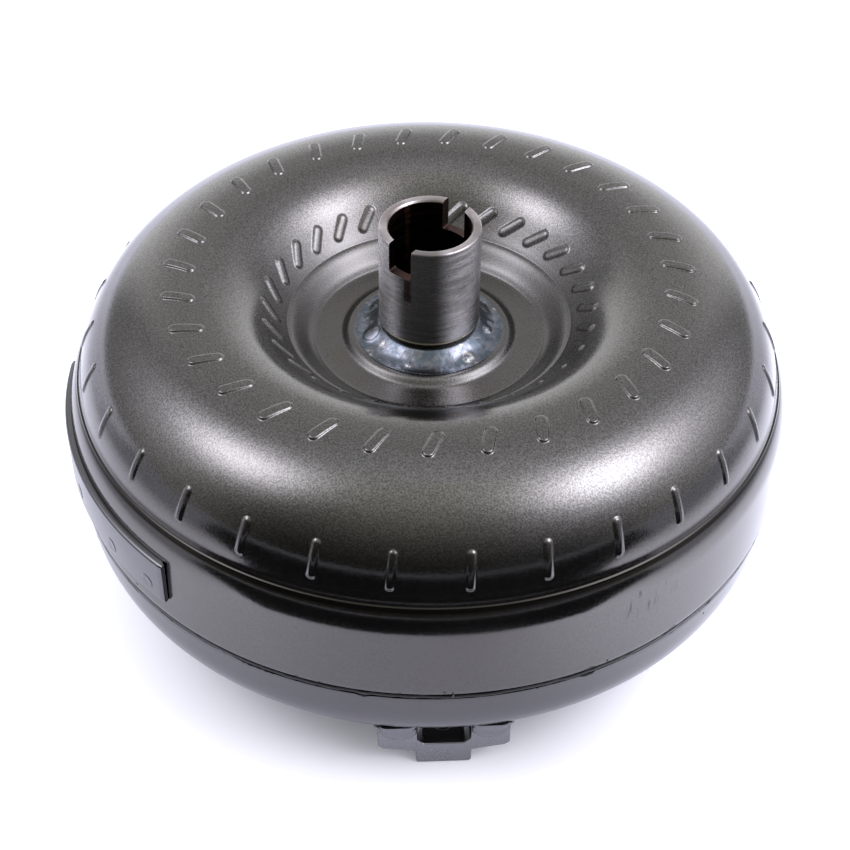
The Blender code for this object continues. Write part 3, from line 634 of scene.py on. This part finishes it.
slot_verts, slot_faces = [], []
for end in (-40.0, 40.0):
    section = [(-6.2, 200.0)] + [(-6.2 + 1.1 * (1 - math.cos(t)), 175.0 + 1.1 * (1 - math.sin(t)))
                                 for t in (0, math.pi / 6, math.pi / 3, math.pi / 2)]
    section += [(6.2 - 1.1 * (1 - math.cos(t)), 175.0 + 1.1 * (1 - math.sin(t)))
                for t in (math.pi / 2, math.pi / 3, math.pi / 6, 0)] + [(6.2, 200.0)]
    for v, z in section:
        turn = math.radians(-126.0)
        slot_verts.append((end * math.cos(turn) - v * math.sin(turn), end * math.sin(turn) + v * math.cos(turn), z))
n = len(section)
slot_faces = [tuple(range(n)), tuple(range(n, 2 * n))] + [(k, (k + 1) % n, (k + 1) % n + n, k + n) for k in range(n)]
bm = bmesh.new()
made = [bm.verts.new((x * MM, y * MM, z * MM)) for x, y, z in slot_verts]
for face in slot_faces:
    bm.faces.new([made[i] for i in face])
bmesh.ops.recalc_face_normals(bm, faces=bm.faces)
cut_mesh = bpy.data.meshes.new("slot_cutter")
bm.to_mesh(cut_mesh)
bm.free()
cut_mesh.materials.append(BORE)
cutter = bpy.data.objects.new("slot_cutter", cut_mesh)
scene.collection.objects.link(cutter)
cut = hub.modifiers.new("drive slots", "BOOLEAN")
cut.operation, cut.solver, cut.object = "DIFFERENCE", "EXACT", cutter
cut.material_mode = "TRANSFER"
bpy.context.view_layer.update()
solved = bpy.data.meshes.new_from_object(hub.evaluated_get(bpy.context.evaluated_depsgraph_get()))
hub.modifiers.clear()
hub.data = solved
bpy.data.objects.remove(cutter, do_unlink=True)
bore_slot = [m.name for m in solved.materials].index(BORE.name)
for face in solved.polygons:
    x, y, z = face.center
    if math.hypot(x, y) < 0.0196 and z > 0.122:
        face.material_index = bore_slot
edge = hub.modifiers.new("broken edges", "BEVEL")
edge.width, edge.segments, edge.limit_method, edge.angle_limit = 0.00045, 3, "ANGLE", math.radians(50)
edge.harden_normals = False
solved.shade_smooth()
solved.set_sharp_from_angle(angle=math.radians(40))

# ---- weld round the hub ------------------------------------------------------------------
LUMPS = (  # angle, radius, size along, size across, height in mm
    (-163, 28.4, 4.4, 3.6, 1.15), (-107, 30.6, 1.8, 1.4, 0.3), (-52, 30.3, 3.4, 1.9, 0.5), (-8, 28.4, 2.2, 1.6, 0.6),
    (4, 30.0, 1.8, 1.4, 0.4), (30, 30.0, 4.0, 2.0, 0.45), (78, 29.5, 3.4, 2.0, 0.5), (118, 30.0, 2.2, 1.8, 0.4),
    (150, 29.5, 3.8, 2.0, 0.5), (-78, 29.0, 1.6, 1.3, 0.2), (-30, 31.6, 1.6, 1.2, 0.3),
)
weld_top = fair([(23.3, 135.6), (23.9, 135.4), (24.7, 134.9), (26.0, 133.9), (27.6, 132.7), (29.4, 131.7),
                 (31.0, 131.1), (32.4, 130.7), (33.6, 130.5), (34.6, 130.5), (35.5, 130.6), (36.0, 130.2)], 0.4)


def weld_shape(j, r, z, a):
    if j >= len(weld_top):
        return r, z
    lift = 0.0
    for deg, radius, along, across, high in LUMPS:
        da = (math.degrees(a) - deg + 180) % 360 - 180
        u, v = math.radians(da) * radius / along, (r - radius) / across
        lift += high * math.exp(-(u * u + v * v) ** 1.5)
    inner = min(1.0, (r - 23.8) / 3.0)
    lift += inner * (0.20 * wander(a, r * 0.16, 5.0, 2) + 0.10 * wander(a, r * 0.35, 13.0, 3))
    edge = min(1.0, max(0.0, (r - 29.5) / 4.0))
    return r + edge * 0.6 * wander(a, 0.0, 3.5, 4), z + lift * (1.0 if r < 34 else 0.4)


verts, faces = spun(weld_top + [(33.5, 126.6), (23.3, 126.6)], 360, weld_shape)
piece("hub_foot_weld", verts, faces, [HUB_WELD], stands_for=["hub_weld"], smooth=60)

# ---- seam weld ------------------------------------------------------------------------------
bead_top = rounded([(170.8, 62.6), (172.4, 62.7), (173.0, 63.5), (173.25, 64.4), (173.2, 65.3), (172.9, 66.1),
                    (170.8, 66.3)], 0.5, 2)


def bead_shape(j, r, z, a):
    if r < 171.5:
        return r, z
    # sunk below the sheet almost all the way round, standing proud where the run started or stopped
    lump = max(0.0, wander(a, z * 0.03, 5.0, 5) - 0.12) * 1.7 + max(0.0, wander(a, z * 0.05, 23.0, 6) - 0.22) * 0.9
    out = min(1.15, lump) - 0.25 + 0.22 * wander(a, z * 0.1, 44.0, 10)
    wave = 0.34 * wander(a, 0.0, 6.0, 7) + 0.24 * wander(a, 0.0, 31.0, 8) + 0.12 * wander(a, 0.0, 90.0, 9)
    return r + out, z + wave


verts, faces = spun(bead_top, 900, bead_shape)
piece("seam_weld_bead", verts, faces, [SEAM], stands_for=["seam_weld"], smooth=60)


def blob(verts, faces, centre, normal, size, flat, rng):
    """A small frozen drop sitting on a surface."""
    n = Vector(normal).normalized()
    side = n.orthogonal().normalized()
    up = n.cross(side)
    base = len(verts)
    rings, count = 4, 10
    for i in range(rings + 1):
        t = i / rings * math.pi * 0.62
        for k in range(count):
            b = 2 * math.pi * k / count
            rr = math.sin(t) * size * (1 + 0.18 * math.sin(b * 2 + rng.random() * 0.5))
            p = Vector(centre) + (side * math.cos(b) + up * math.sin(b)) * rr + n * (math.cos(t) * size * flat)
            verts.append(tuple(p))
    for i in range(rings):
        for k in range(count):
            m = (k + 1) % count
            faces.append((base + i * count + k, base + i * count + m, base + (i + 1) * count + m,
                          base + (i + 1) * count + k))
    faces.append(tuple(base + rings * count + k for k in range(count)))


rng = random.Random(11)
verts, faces = [], []
for i in range(46):
    a = rng.uniform(0, 2 * math.pi)
    z = rng.choice((rng.gauss(66.5, 3.0), rng.gauss(58.0, 3.5)))
    r = 173.55 if z > 66.4 else 172.0 + (z - 54) * 0.05 if z > 54 else 171.4
    if 61.0 < z < 66.6:
        r = 174.1
    size = abs(rng.gauss(0.34, 0.22)) + 0.16
    blob(verts, faces, (r * math.cos(a), r * math.sin(a), z), (math.cos(a), math.sin(a), 0.0), size, 0.55, rng)
for i in range(26):
    a, r = rng.uniform(0, 2 * math.pi), rng.uniform(39.5, 52.0)
    blob(verts, faces, (r * math.cos(a), r * math.sin(a), 127.5), (0, 0, 1), rng.uniform(0.12, 0.38), 0.6, rng)
piece("weld_spatter", verts, faces, [SPATTER], smooth=80, weld=0.003)

# ---- front cover -------------------------------------------------------------------------------
cover_out = (
    fair([(0.5, 30.0), (20, 30.0), (36, 30.0), (42, 29.8), (48, 28.5), (55, 26.9), (62, 26.4), (90, 26.4),
          (120, 26.4), (140, 26.4), (150, 26.45), (155.0, 26.9), (159.5, 28.4), (163.4, 31.2), (166.4, 34.9), (168.6, 38.9),
          (170.2, 43.2), (171.3, 48.0), (172.0, 53.0), (172.5, 58.0), (172.85, 61.2), (172.95, 62.6), (172.8, 63.4), (172.3, 63.8), (171.5, 63.9)], 1.0)
    + [(170.1, 64.0), (170.0, 64.6), (170.0, 77.4), (169.6, 78.0)])
cover_in = [(166.0, 78.0), (165.6, 77.6), (165.6, 50.0), (163.8, 42.0), (160.6, 37.0), (156.5, 33.2), (152.0, 31.7),
            (62.0, 31.7), (42.0, 34.5)]
verts, faces = spun_disc([(0, 30.0)] + cover_out[1:] + cover_in + [(0, 34.5)], 300)
piece("front_cover_skin", verts, faces, [COVER], stands_for=["front_cover"], smooth=45)

verts, faces = spun_disc([(0, 16.8), (2.0, 16.8), (3.4, 15.6)] + rounded(
    [(3.6, 15.5), (18.5, 15.5), (20.0, 17.0), (20.0, 24.5), (20.4, 26.6), (22.8, 29.6)], 0.4, 2)[3:-3]
    + [(23.2, 29.75), (0, 29.75)], 120)
piece("pilot_hub_turned", verts, faces, [PILOT], stands_for=["pilot_hub"], smooth=30)

verts, faces = spun(fair([(22.4, 30.6), (22.7, 28.2), (23.6, 28.4), (24.6, 28.9), (25.7, 29.6), (26.4, 30.6)], 0.35),
                    200, lambda j, r, z, a: (r + 0.25 * wander(a, 0, 8.0, 12), z - 0.2 * abs(wander(a, r * 0.2, 22.0, 13))
                                             if z < 30 else z))
piece("pilot_weld_bead", verts, faces, [SPATTER], smooth=60)


# ---- mounting lugs -------------------------------------------------------------------------------
LUG_OUTLINE = [
    (-30.3, 26.1), (-30.3, 12.8), (-28.0, 11.0), (-12.75, 8.2), (-12.75, 0.9), (-11.85, 0.0), (11.85, 0.0),
    (12.75, 0.9), (12.75, 8.2), (28.0, 11.0), (30.3, 12.8), (30.3, 26.1), (12.3, 26.1), (12.3, 16.0),
    (9.3, 13.3), (-9.3, 13.3), (-12.3, 16.0), (-12.3, 26.1),
]


def lug_mesh(name, turn, stands_for):
    bm = bmesh.new()
    c, s = math.cos(turn), math.sin(turn)

    def at(r, u, z):
        return Vector(((r * c - u * s) * MM, (r * s + u * c) * MM, z * MM))

    ends = [[bm.verts.new(at(r, u, z)) for u, z in LUG_OUTLINE] for r in (133.5, 158.5)]
    bm.faces.new(ends[0][::-1])
    bm.faces.new(ends[1])
    n = len(LUG_OUTLINE)
    for i in range(n):
        k = (i + 1) % n
        bm.faces.new((ends[0][i], ends[0][k], ends[1][k], ends[1][i]))
    bmesh.ops.recalc_face_normals(bm, faces=bm.faces)
    mesh = bpy.data.meshes.new(name)
    bm.to_mesh(mesh)
    bm.free()
    lug = bpy.data.objects.new(name, mesh)
    scene.collection.objects.link(lug)
    mesh.materials.append(LUG)
    drill_bm = bmesh.new()
    centre = at(146.0, 0, 6.0)
    bmesh.ops.create_cone(drill_bm, cap_ends=True, segments=40, radius1=4.25 * MM, radius2=4.25 * MM,
                          depth=22 * MM, matrix=Matrix.Translation(centre))
    drill_mesh = bpy.data.meshes.new("drill")
    drill_bm.to_mesh(drill_mesh)
    drill_bm.free()
    drill_mesh.materials.append(BORE)
    drill = bpy.data.objects.new("drill", drill_mesh)
    scene.collection.objects.link(drill)
    mod = lug.modifiers.new("hole", "BOOLEAN")
    mod.operation, mod.solver, mod.object, mod.material_mode = "DIFFERENCE", "EXACT", drill, "TRANSFER"
    bpy.context.view_layer.update()
    solved = bpy.data.meshes.new_from_object(lug.evaluated_get(bpy.context.evaluated_depsgraph_get()))
    lug.modifiers.clear()
    lug.data = solved
    bpy.data.objects.remove(drill, do_unlink=True)
    edge = lug.modifiers.new("rounded edges", "BEVEL")
    edge.width, edge.segments, edge.limit_method, edge.angle_limit = 0.0007, 3, "ANGLE", math.radians(32)
    solved.shade_smooth()
    solved.set_sharp_from_angle(angle=math.radians(35))
    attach(lug, "housing")
    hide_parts(stands_for)
    return lug


def bead(verts, faces, path, radii, seed, flat=1.0):
    """A weld bead along a path: an irregular tube with ripples and closed ends."""
    base, count = len(verts), 14
    pts = [Vector(p) for p in path]
    for i, p in enumerate(pts):
        d = (pts[min(i + 1, len(pts) - 1)] - pts[max(i - 1, 0)]).normalized()
        side = d.cross(Vector((0, 0, 1)))
        side = side.normalized() if side.length > 0.1 else Vector((1, 0, 0))
        up = side.cross(d)
        t = i / (len(pts) - 1)
        end = math.sqrt(max(0.02, 1 - (2 * t - 1) ** 6))
        size = radii * end * (1 + 0.09 * math.sin(i * 1.9 + seed) + 0.13 * noise.noise(p * 0.22 + Vector((seed, 0, 0))))
        for k in range(count):
            b = 2 * math.pi * k / count
            verts.append(tuple(p + side * math.cos(b) * size + up * math.sin(b) * size * flat))
    for i in range(len(pts) - 1):
        for k in range(count):
            m = (k + 1) % count
            faces.append((base + i * count + k, base + i * count + m, base + (i + 1) * count + m,
                          base + (i + 1) * count + k))
    faces.append(tuple(base + k for k in range(count)))
    faces.append(tuple(base + (len(pts) - 1) * count + k for k in range(count)))


for n in range(3):
    turn = math.radians(-86.5 + 120.0 * n)
    lug_mesh(f"lug_bracket_{n + 1}", turn, f"mounting_lug_{n + 1}")
    c, s = math.cos(turn), math.sin(turn)
    verts, faces = [], []
    for side in (-1, 1):
        # along the outer face, the open end, and the inner face of each foot
        for path, size in (
            ([(157.5 - 22.5 * t, side * 30.6, 25.4) for t in [k / 30 for k in range(31)]], 2.4),
            ([(133.4, side * (13.4 + 16.0 * t), 25.4) for t in [k / 24 for k in range(25)]], 2.4),
        ):
            world = [(r * c - u * s, r * s + u * c, z) for r, u, z in path]
            bead(verts, faces, world, size, n * 3 + side, 0.85)
        # the hollow fillet that shows under the edge of the cover
        base, across, down = len(verts), 26, 12
        for i in range(across + 1):
            t = i / across
            u = side * (12.6 + 16.9 * t)
            low = 23.8 - 6.6 * math.sin(math.pi * min(1.0, 0.10 + 0.86 * t)) ** 0.8 + 0.35 * noise.noise(Vector((u * 0.4, n * 3.0, 0)))
            for k in range(down + 1):
                q = k / down
                z = 29.4 + (low - 29.4) * q
                r = 158.2 + 3.6 * (1 - q ** 5) * (1 - 0.45 * (2 * t - 1) ** 6) - 1.1 * math.sin(math.pi * q) ** 2
                r += 0.10 * math.sin(i * 1.7) * math.sin(math.pi * q)
                verts.append((r * c - u * s, r * s + u * c, z))
        for i in range(across + 1):
            t = i / across
            u = side * (12.6 + 16.9 * t)
            for k in (0, down):
                verts.append((157.0 * c - u * s, 157.0 * s + u * c, verts[base + i * (down + 1) + k][2]))
        row, rear_row = down + 1, base + (across + 1) * (down + 1)
        for i in range(across):
            for k in range(down):
                p = base + i * row + k
                faces.append((p, p + 1, p + row + 1, p + row))
            p, q, b0, b1 = base + i * row, base + (i + 1) * row, rear_row + 2 * i, rear_row + 2 * (i + 1)
            faces.append((p, q, b1, b0))
            faces.append((p + down, b0 + 1, b1 + 1, q + down))
            faces.append((b0, b1, b1 + 1, b0 + 1))
        for i in (0, across):
            p, b = base + i * row, rear_row + 2 * i
            faces.append(tuple([p + k for k in range(down + 1)] + [b + 1, b]))
    piece(f"lug_weld_{n + 1}", verts, faces, [LUG_WELD], smooth=60)

# ---- balance weight ---------------------------------------------------------------------------------
section = rounded([(173.0, 78.0), (175.6, 78.0), (176.3, 78.8), (176.3, 100.3), (175.6, 101.1), (174.6, 101.4), (172.9, 101.4)], 0.4, 3)
SPOTS = (-178.5, -169.0, -157.0, -144.0, -134.6)
verts, faces = [], []
steps = 204
for i in range(steps + 1):
    deg = -182.0 + 51.0 * i / steps
    a = math.radians(deg)
    end = min(1.0, (min(i, steps - i) + 0.35) / 3.0)
    for r, z in section:
        rr, zz = 175.3 + (r - 175.3) * (0.55 + 0.45 * end), 89.7 + (z - 89.7) * (0.972 + 0.028 * end)
        verts.append((rr * math.cos(a), rr * math.sin(a), zz))
n = len(section)
for i in range(steps):
    for k in range(n):
        m = (k + 1) % n
        faces.append((i * n + k, i * n + m, (i + 1) * n + m, (i + 1) * n + k))
faces.append(tuple(range(n)))
faces.append(tuple(steps * n + k for k in range(n)))
piece("balance_weight_strip", verts, faces, [WEIGHT], stands_for=["balance_weight"], smooth=40)
verts, faces = [], []
for deg in SPOTS:
    # the shallow ring a spot welder leaves
    a = math.radians(deg)
    centre = Vector((176.38 * math.cos(a), 176.38 * math.sin(a), 84.5))
    n_out = Vector((math.cos(a), math.sin(a), 0))
    side, up = Vector((-math.sin(a), math.cos(a), 0)), Vector((0, 0, 1))
    base = len(verts)
    for rr, h in ((0.0, 0.03), (1.4, 0.03), (2.1, 0.06), (2.6, 0.11), (3.1, 0.09), (3.8, 0.02), (4.0, -0.3)):
        for k in range(24):
            b = 2 * math.pi * k / 24
            verts.append(tuple(centre + (side * math.cos(b) + up * math.sin(b)) * rr + n_out * h))
    for i in range(6):
        for k in range(24):
            m = (k + 1) % 24
            faces.append((base + i * 24 + k, base + i * 24 + m, base + (i + 1) * 24 + m, base + (i + 1) * 24 + k))
    faces.append(tuple(base + 6 * 24 + k for k in range(24)))
piece("balance_weight_spots", verts, faces, [WEIGHT], smooth=60, weld=0.003)

# ---- damper springs: wire wound round the damper circle --------------------------------------------
for n in range(6):
    middle, half, turns, coil_r, wire_r = math.radians(30.0 + 60.0 * n), math.radians(21.4), 8.5, 5.2, 1.45
    steps, sides = 260, 10
    verts, faces = [], []
    for i in range(steps + 1):
        t = i / steps
        # the end turns are closed up and ground, as on a real spring
        close = t + 0.028 * math.sin(2 * math.pi * t)
        a = middle - half + 2 * half * (close * 0.985 + 0.0075)
        w = 2 * math.pi * turns * t
        radial = Vector((math.cos(a), math.sin(a), 0))
        spoke = radial * math.cos(w) + Vector((0, 0, 1)) * math.sin(w)
        tangent = Vector((-math.sin(a), math.cos(a), 0))
        centre = radial * 138.0 + Vector((0, 0, 48.0)) + spoke * coil_r
        for k in range(sides):
            q = 2 * math.pi * k / sides
            verts.append(tuple(centre + spoke * wire_r * math.cos(q) + tangent * wire_r * math.sin(q)))
    for i in range(steps):
        for k in range(sides):
            m = (k + 1) % sides
            faces.append((i * sides + k, i * sides + m, (i + 1) * sides + m, (i + 1) * sides + k))
    faces.append(tuple(range(sides)))
    faces.append(tuple(steps * sides + k for k in range(sides)))
    coil = piece(f"damper_coil_{n + 1}", verts, faces, [spring_look], body=None,
                 stands_for=[f"damper_spring_{n + 1}"], smooth=60)
    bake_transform(coil)

# ---- floor, light and camera ----------------------------------------------------------------------------
floor_mesh = bpy.data.meshes.new("studio_floor")
floor_mesh.from_pydata([(-14, -14, -0.0002), (14, -14, -0.0002), (14, 14, -0.0002), (-14, 14, -0.0002)], [], [(0, 1, 2, 3)])
floor = bpy.data.objects.new("studio_floor", floor_mesh)
scene.collection.objects.link(floor)
floor_mat, tree, shader, place = start_material("pale_floor", 0.0, 0.9)
tone = blend_colour(tree, clouds(tree, place, 3.0), (0.60, 0.605, 0.665, 1), (0.62, 0.625, 0.685, 1))
table = blend_colour(tree, clouds(tree, place, 3.0), (0.80, 0.80, 0.805, 1), (0.82, 0.82, 0.825, 1))
xyz = node(tree, "ShaderNodeSeparateXYZ", {0: place}).outputs
away = node(tree, "ShaderNodeVectorMath", {0: place}, operation="LENGTH").outputs["Value"]
# painted shade: seen in gloss, the floor is darker beyond 0.36 to 0.6 m from the centre, except behind, and bluer than
# the floor the camera sees
painted_far_shade = calc(tree, "MULTIPLY", spread(tree, away, 0.36, 0.60), spread(tree, xyz[1], 0.0, 0.35, 1.0, 0.0))
tone = blend_colour(tree, painted_far_shade, tone, (0.30, 0.302, 0.33, 1))
tone = blend_colour(tree, node(tree, "ShaderNodeLightPath").outputs["Is Camera Ray"], tone, table)
tree.links.new(tone, shader.inputs["Base Color"])
shader.inputs["Specular IOR Level"].default_value = 0.0
shader.inputs["Emission Color"].default_value = (0.955, 0.965, 1.12, 1)
# painted light: the table glows a little more to the right, to the left and behind
xyz = node(tree, "ShaderNodeSeparateXYZ", {0: place}).outputs
away = node(tree, "ShaderNodeVectorMath", {0: place}, operation="LENGTH").outputs["Value"]
side = calc(tree, "ADD", spread(tree, xyz[0], 0.03, 0.24, 0.0, 0.95), spread(tree, xyz[0], -0.24, -0.03, 0.48, 0.0))
side = calc(tree, "MULTIPLY", side, spread(tree, away, 0.33, 0.60, 1.0, 0.0))
glow = calc(tree, "ADD", side, spread(tree, xyz[1], -0.02, 0.30, 0.12, 0.40))
far = calc(tree, "MULTIPLY", spread(tree, xyz[1], 0.5, 1.2, 0.0, 0.45), spread(tree, away, 3.0, 5.0, 1.0, 0.0))
glow = calc(tree, "ADD", glow, far)
tree.links.new(glow, shader.inputs["Emission Strength"])
floor_mesh.materials.append(floor_mat)

# a black flag on the table in front of the object, seen only in its gloss
flag_mesh = bpy.data.meshes.new("studio_flag")
edge_points = []
for i in range(25):
    a = math.radians(-60.0 + 5.0 * i)
    reach = 0.320 + 0.35 * max(0.0, (abs(math.degrees(a)) - 35.0) / 25.0) ** 1.3
    edge_points.append((reach * math.sin(a), -reach * math.cos(a), 0.0006))
outer_points = [(3.2 * math.sin(math.radians(-60.0 + 5.0 * i)), -3.2 * math.cos(math.radians(-60.0 + 5.0 * i)), 0.0006)
                for i in range(25)]
flag_mesh.from_pydata(edge_points + outer_points, [], [(i, i + 1, i + 26, i + 25) for i in range(24)])
flag = bpy.data.objects.new("studio_flag", flag_mesh)
scene.collection.objects.link(flag)
flag_mat, tree, shader, place = start_material("flag_black", 0.0, 1.0)
tree.links.new(blend_colour(tree, clouds(tree, place, 8.0), grey(0.012), grey(0.016)), shader.inputs["Base Color"])
shader.inputs["Specular IOR Level"].default_value = 0.0
flag_mesh.materials.append(flag_mat)
flag.visible_camera = flag.visible_diffuse = flag.visible_shadow = False
flag.visible_transmission = flag.visible_volume_scatter = False

world = bpy.data.worlds.new("soft_studio")
scene.world = world
world.use_nodes = True
tree = world.node_tree
back = tree.nodes["Background"]
way = node(tree, "ShaderNodeVectorMath",
           {0: node(tree, "ShaderNodeTexCoord").outputs["Generated"]}, operation="NORMALIZE").outputs[0]
xyz = node(tree, "ShaderNodeSeparateXYZ", {0: way}).outputs
rise = calc(tree, "DIVIDE", calc(tree, "ARCSINE", xyz[2]), math.pi / 2, clamp=True)
flat = calc(tree, "SQRT", calc(tree, "ADD", calc(tree, "MULTIPLY", xyz[0], xyz[0]),
                               calc(tree, "ADD", calc(tree, "MULTIPLY", xyz[1], xyz[1]), 1e-5)))
ahead = calc(tree, "DIVIDE", calc(tree, "MULTIPLY", xyz[1], -1.0), flat)


def by_height(stops):
    ramp = tree.nodes.new("ShaderNodeValToRGB")
    tree.links.new(rise, ramp.inputs[0])
    ramp.color_ramp.interpolation = "B_SPLINE"
    marks = ramp.color_ramp.elements
    while len(marks) < len(stops):
        marks.new(0.5)
    for mark, (deg, value) in zip(marks, stops):
        mark.position = deg / 90.0
        mark.color = (value * 0.5, value * 0.5, value * 0.5, 1)
    return calc(tree, "MULTIPLY", ramp.outputs[0], 2.0)


front = by_height([(0, 0.03), (6, 0.05), (15, 0.09), (25, 0.15), (35, 0.27), (45, 0.40), (55, 0.58), (68, 0.82), (90, 1.03)])
rear = by_height([(0, 0.50), (15, 0.50), (30, 0.55), (50, 0.66), (70, 0.84), (90, 1.03)])
behind = by_height([(0, 1.8), (12, 1.75), (25, 1.35), (40, 0.78), (60, 0.78), (90, 1.03)])
base = node(tree, "ShaderNodeMix", {0: spread(tree, ahead, 0.10, 0.80), 2: rear, 3: front}).outputs[0]
base = node(tree, "ShaderNodeMix", {0: spread(tree, ahead, -0.88, -0.70, 1.0, 0.0), 2: base, 3: behind}).outputs[0]


def softbox(azimuth, elevation, power, tight):
    a, e = math.radians(azimuth), math.radians(elevation)
    aim = (math.sin(a) * math.cos(e), -math.cos(a) * math.cos(e), math.sin(e))
    dot = node(tree, "ShaderNodeVectorMath", {0: way, 1: aim}, operation="DOT_PRODUCT").outputs["Value"]
    fall = calc(tree, "EXPONENT", calc(tree, "MULTIPLY", calc(tree, "SUBTRACT", dot, 1.0), tight))
    return calc(tree, "MULTIPLY", fall, power)


boxes = calc(tree, "ADD", softbox(77, 48, 8.2, 26.0), softbox(100, 30, 1.5, 12.0))
boxes = calc(tree, "ADD", boxes, softbox(55, 32, 0.40, 12.0))
boxes = calc(tree, "ADD", boxes, softbox(100, 72, 0.28, 8.0))
boxes = calc(tree, "ADD", boxes, softbox(-86, 52, 6.3, 34.0))
boxes = calc(tree, "ADD", boxes, softbox(-98, 34, 0.9, 12.0))
warm = blend_colour(tree, spread(tree, ahead, -0.5, 0.6), (0.995, 1.0, 1.04, 1.0), (1.0, 1.0, 0.93, 1.0))
tint = blend_colour(tree, 1.0, base, warm, "MULTIPLY")
tint = blend_colour(tree, 1.0, tint, blend_colour(tree, 1.0, boxes, (1.0, 0.995, 1.15, 1.0), "MULTIPLY"), "ADD")
camera_sees = node(tree, "ShaderNodeLightPath").outputs["Is Camera Ray"]
tree.links.new(blend_colour(tree, camera_sees, tint, (0.93, 0.935, 0.945, 1.0)), back.inputs["Color"])

FOCAL, DIST, RISE, ROLL = 1765.0, 0.8594, math.radians(39.81), math.radians(0.802)
OFF_X, OFF_Y, AIM_Z = 3.389, -71.24, 0.1136
eye = Vector((0, -DIST * math.cos(RISE), AIM_Z + DIST * math.sin(RISE)))
forward = (Vector((0, 0, AIM_Z)) - eye).normalized()
right = forward.cross(Vector((0, 0, 1))).normalized()
up = right.cross(forward)
right, up = (math.cos(ROLL) * right + math.sin(ROLL) * up, -math.sin(ROLL) * right + math.cos(ROLL) * up)
yaw = Matrix.Rotation(math.atan2(OFF_X, FOCAL), 3, up)
forward, right = yaw @ forward, yaw @ right
tilt = Matrix.Rotation(-math.atan2(-OFF_Y, math.hypot(FOCAL, OFF_X)), 3, right)
forward, up = tilt @ forward, tilt @ up
data = bpy.data.cameras.new("studio_camera")
data.lens = FOCAL / 850 * 36
data.sensor_width = 36
data.clip_start, data.clip_end = 0.01, 30
camera = bpy.data.objects.new("studio_camera", data)
scene.collection.objects.link(camera)
turned = Matrix((right, up, -forward)).transposed().to_4x4()
turned.translation = eye
camera.matrix_world = turned
scene.camera = camera
scene.view_settings.view_transform = "Standard"
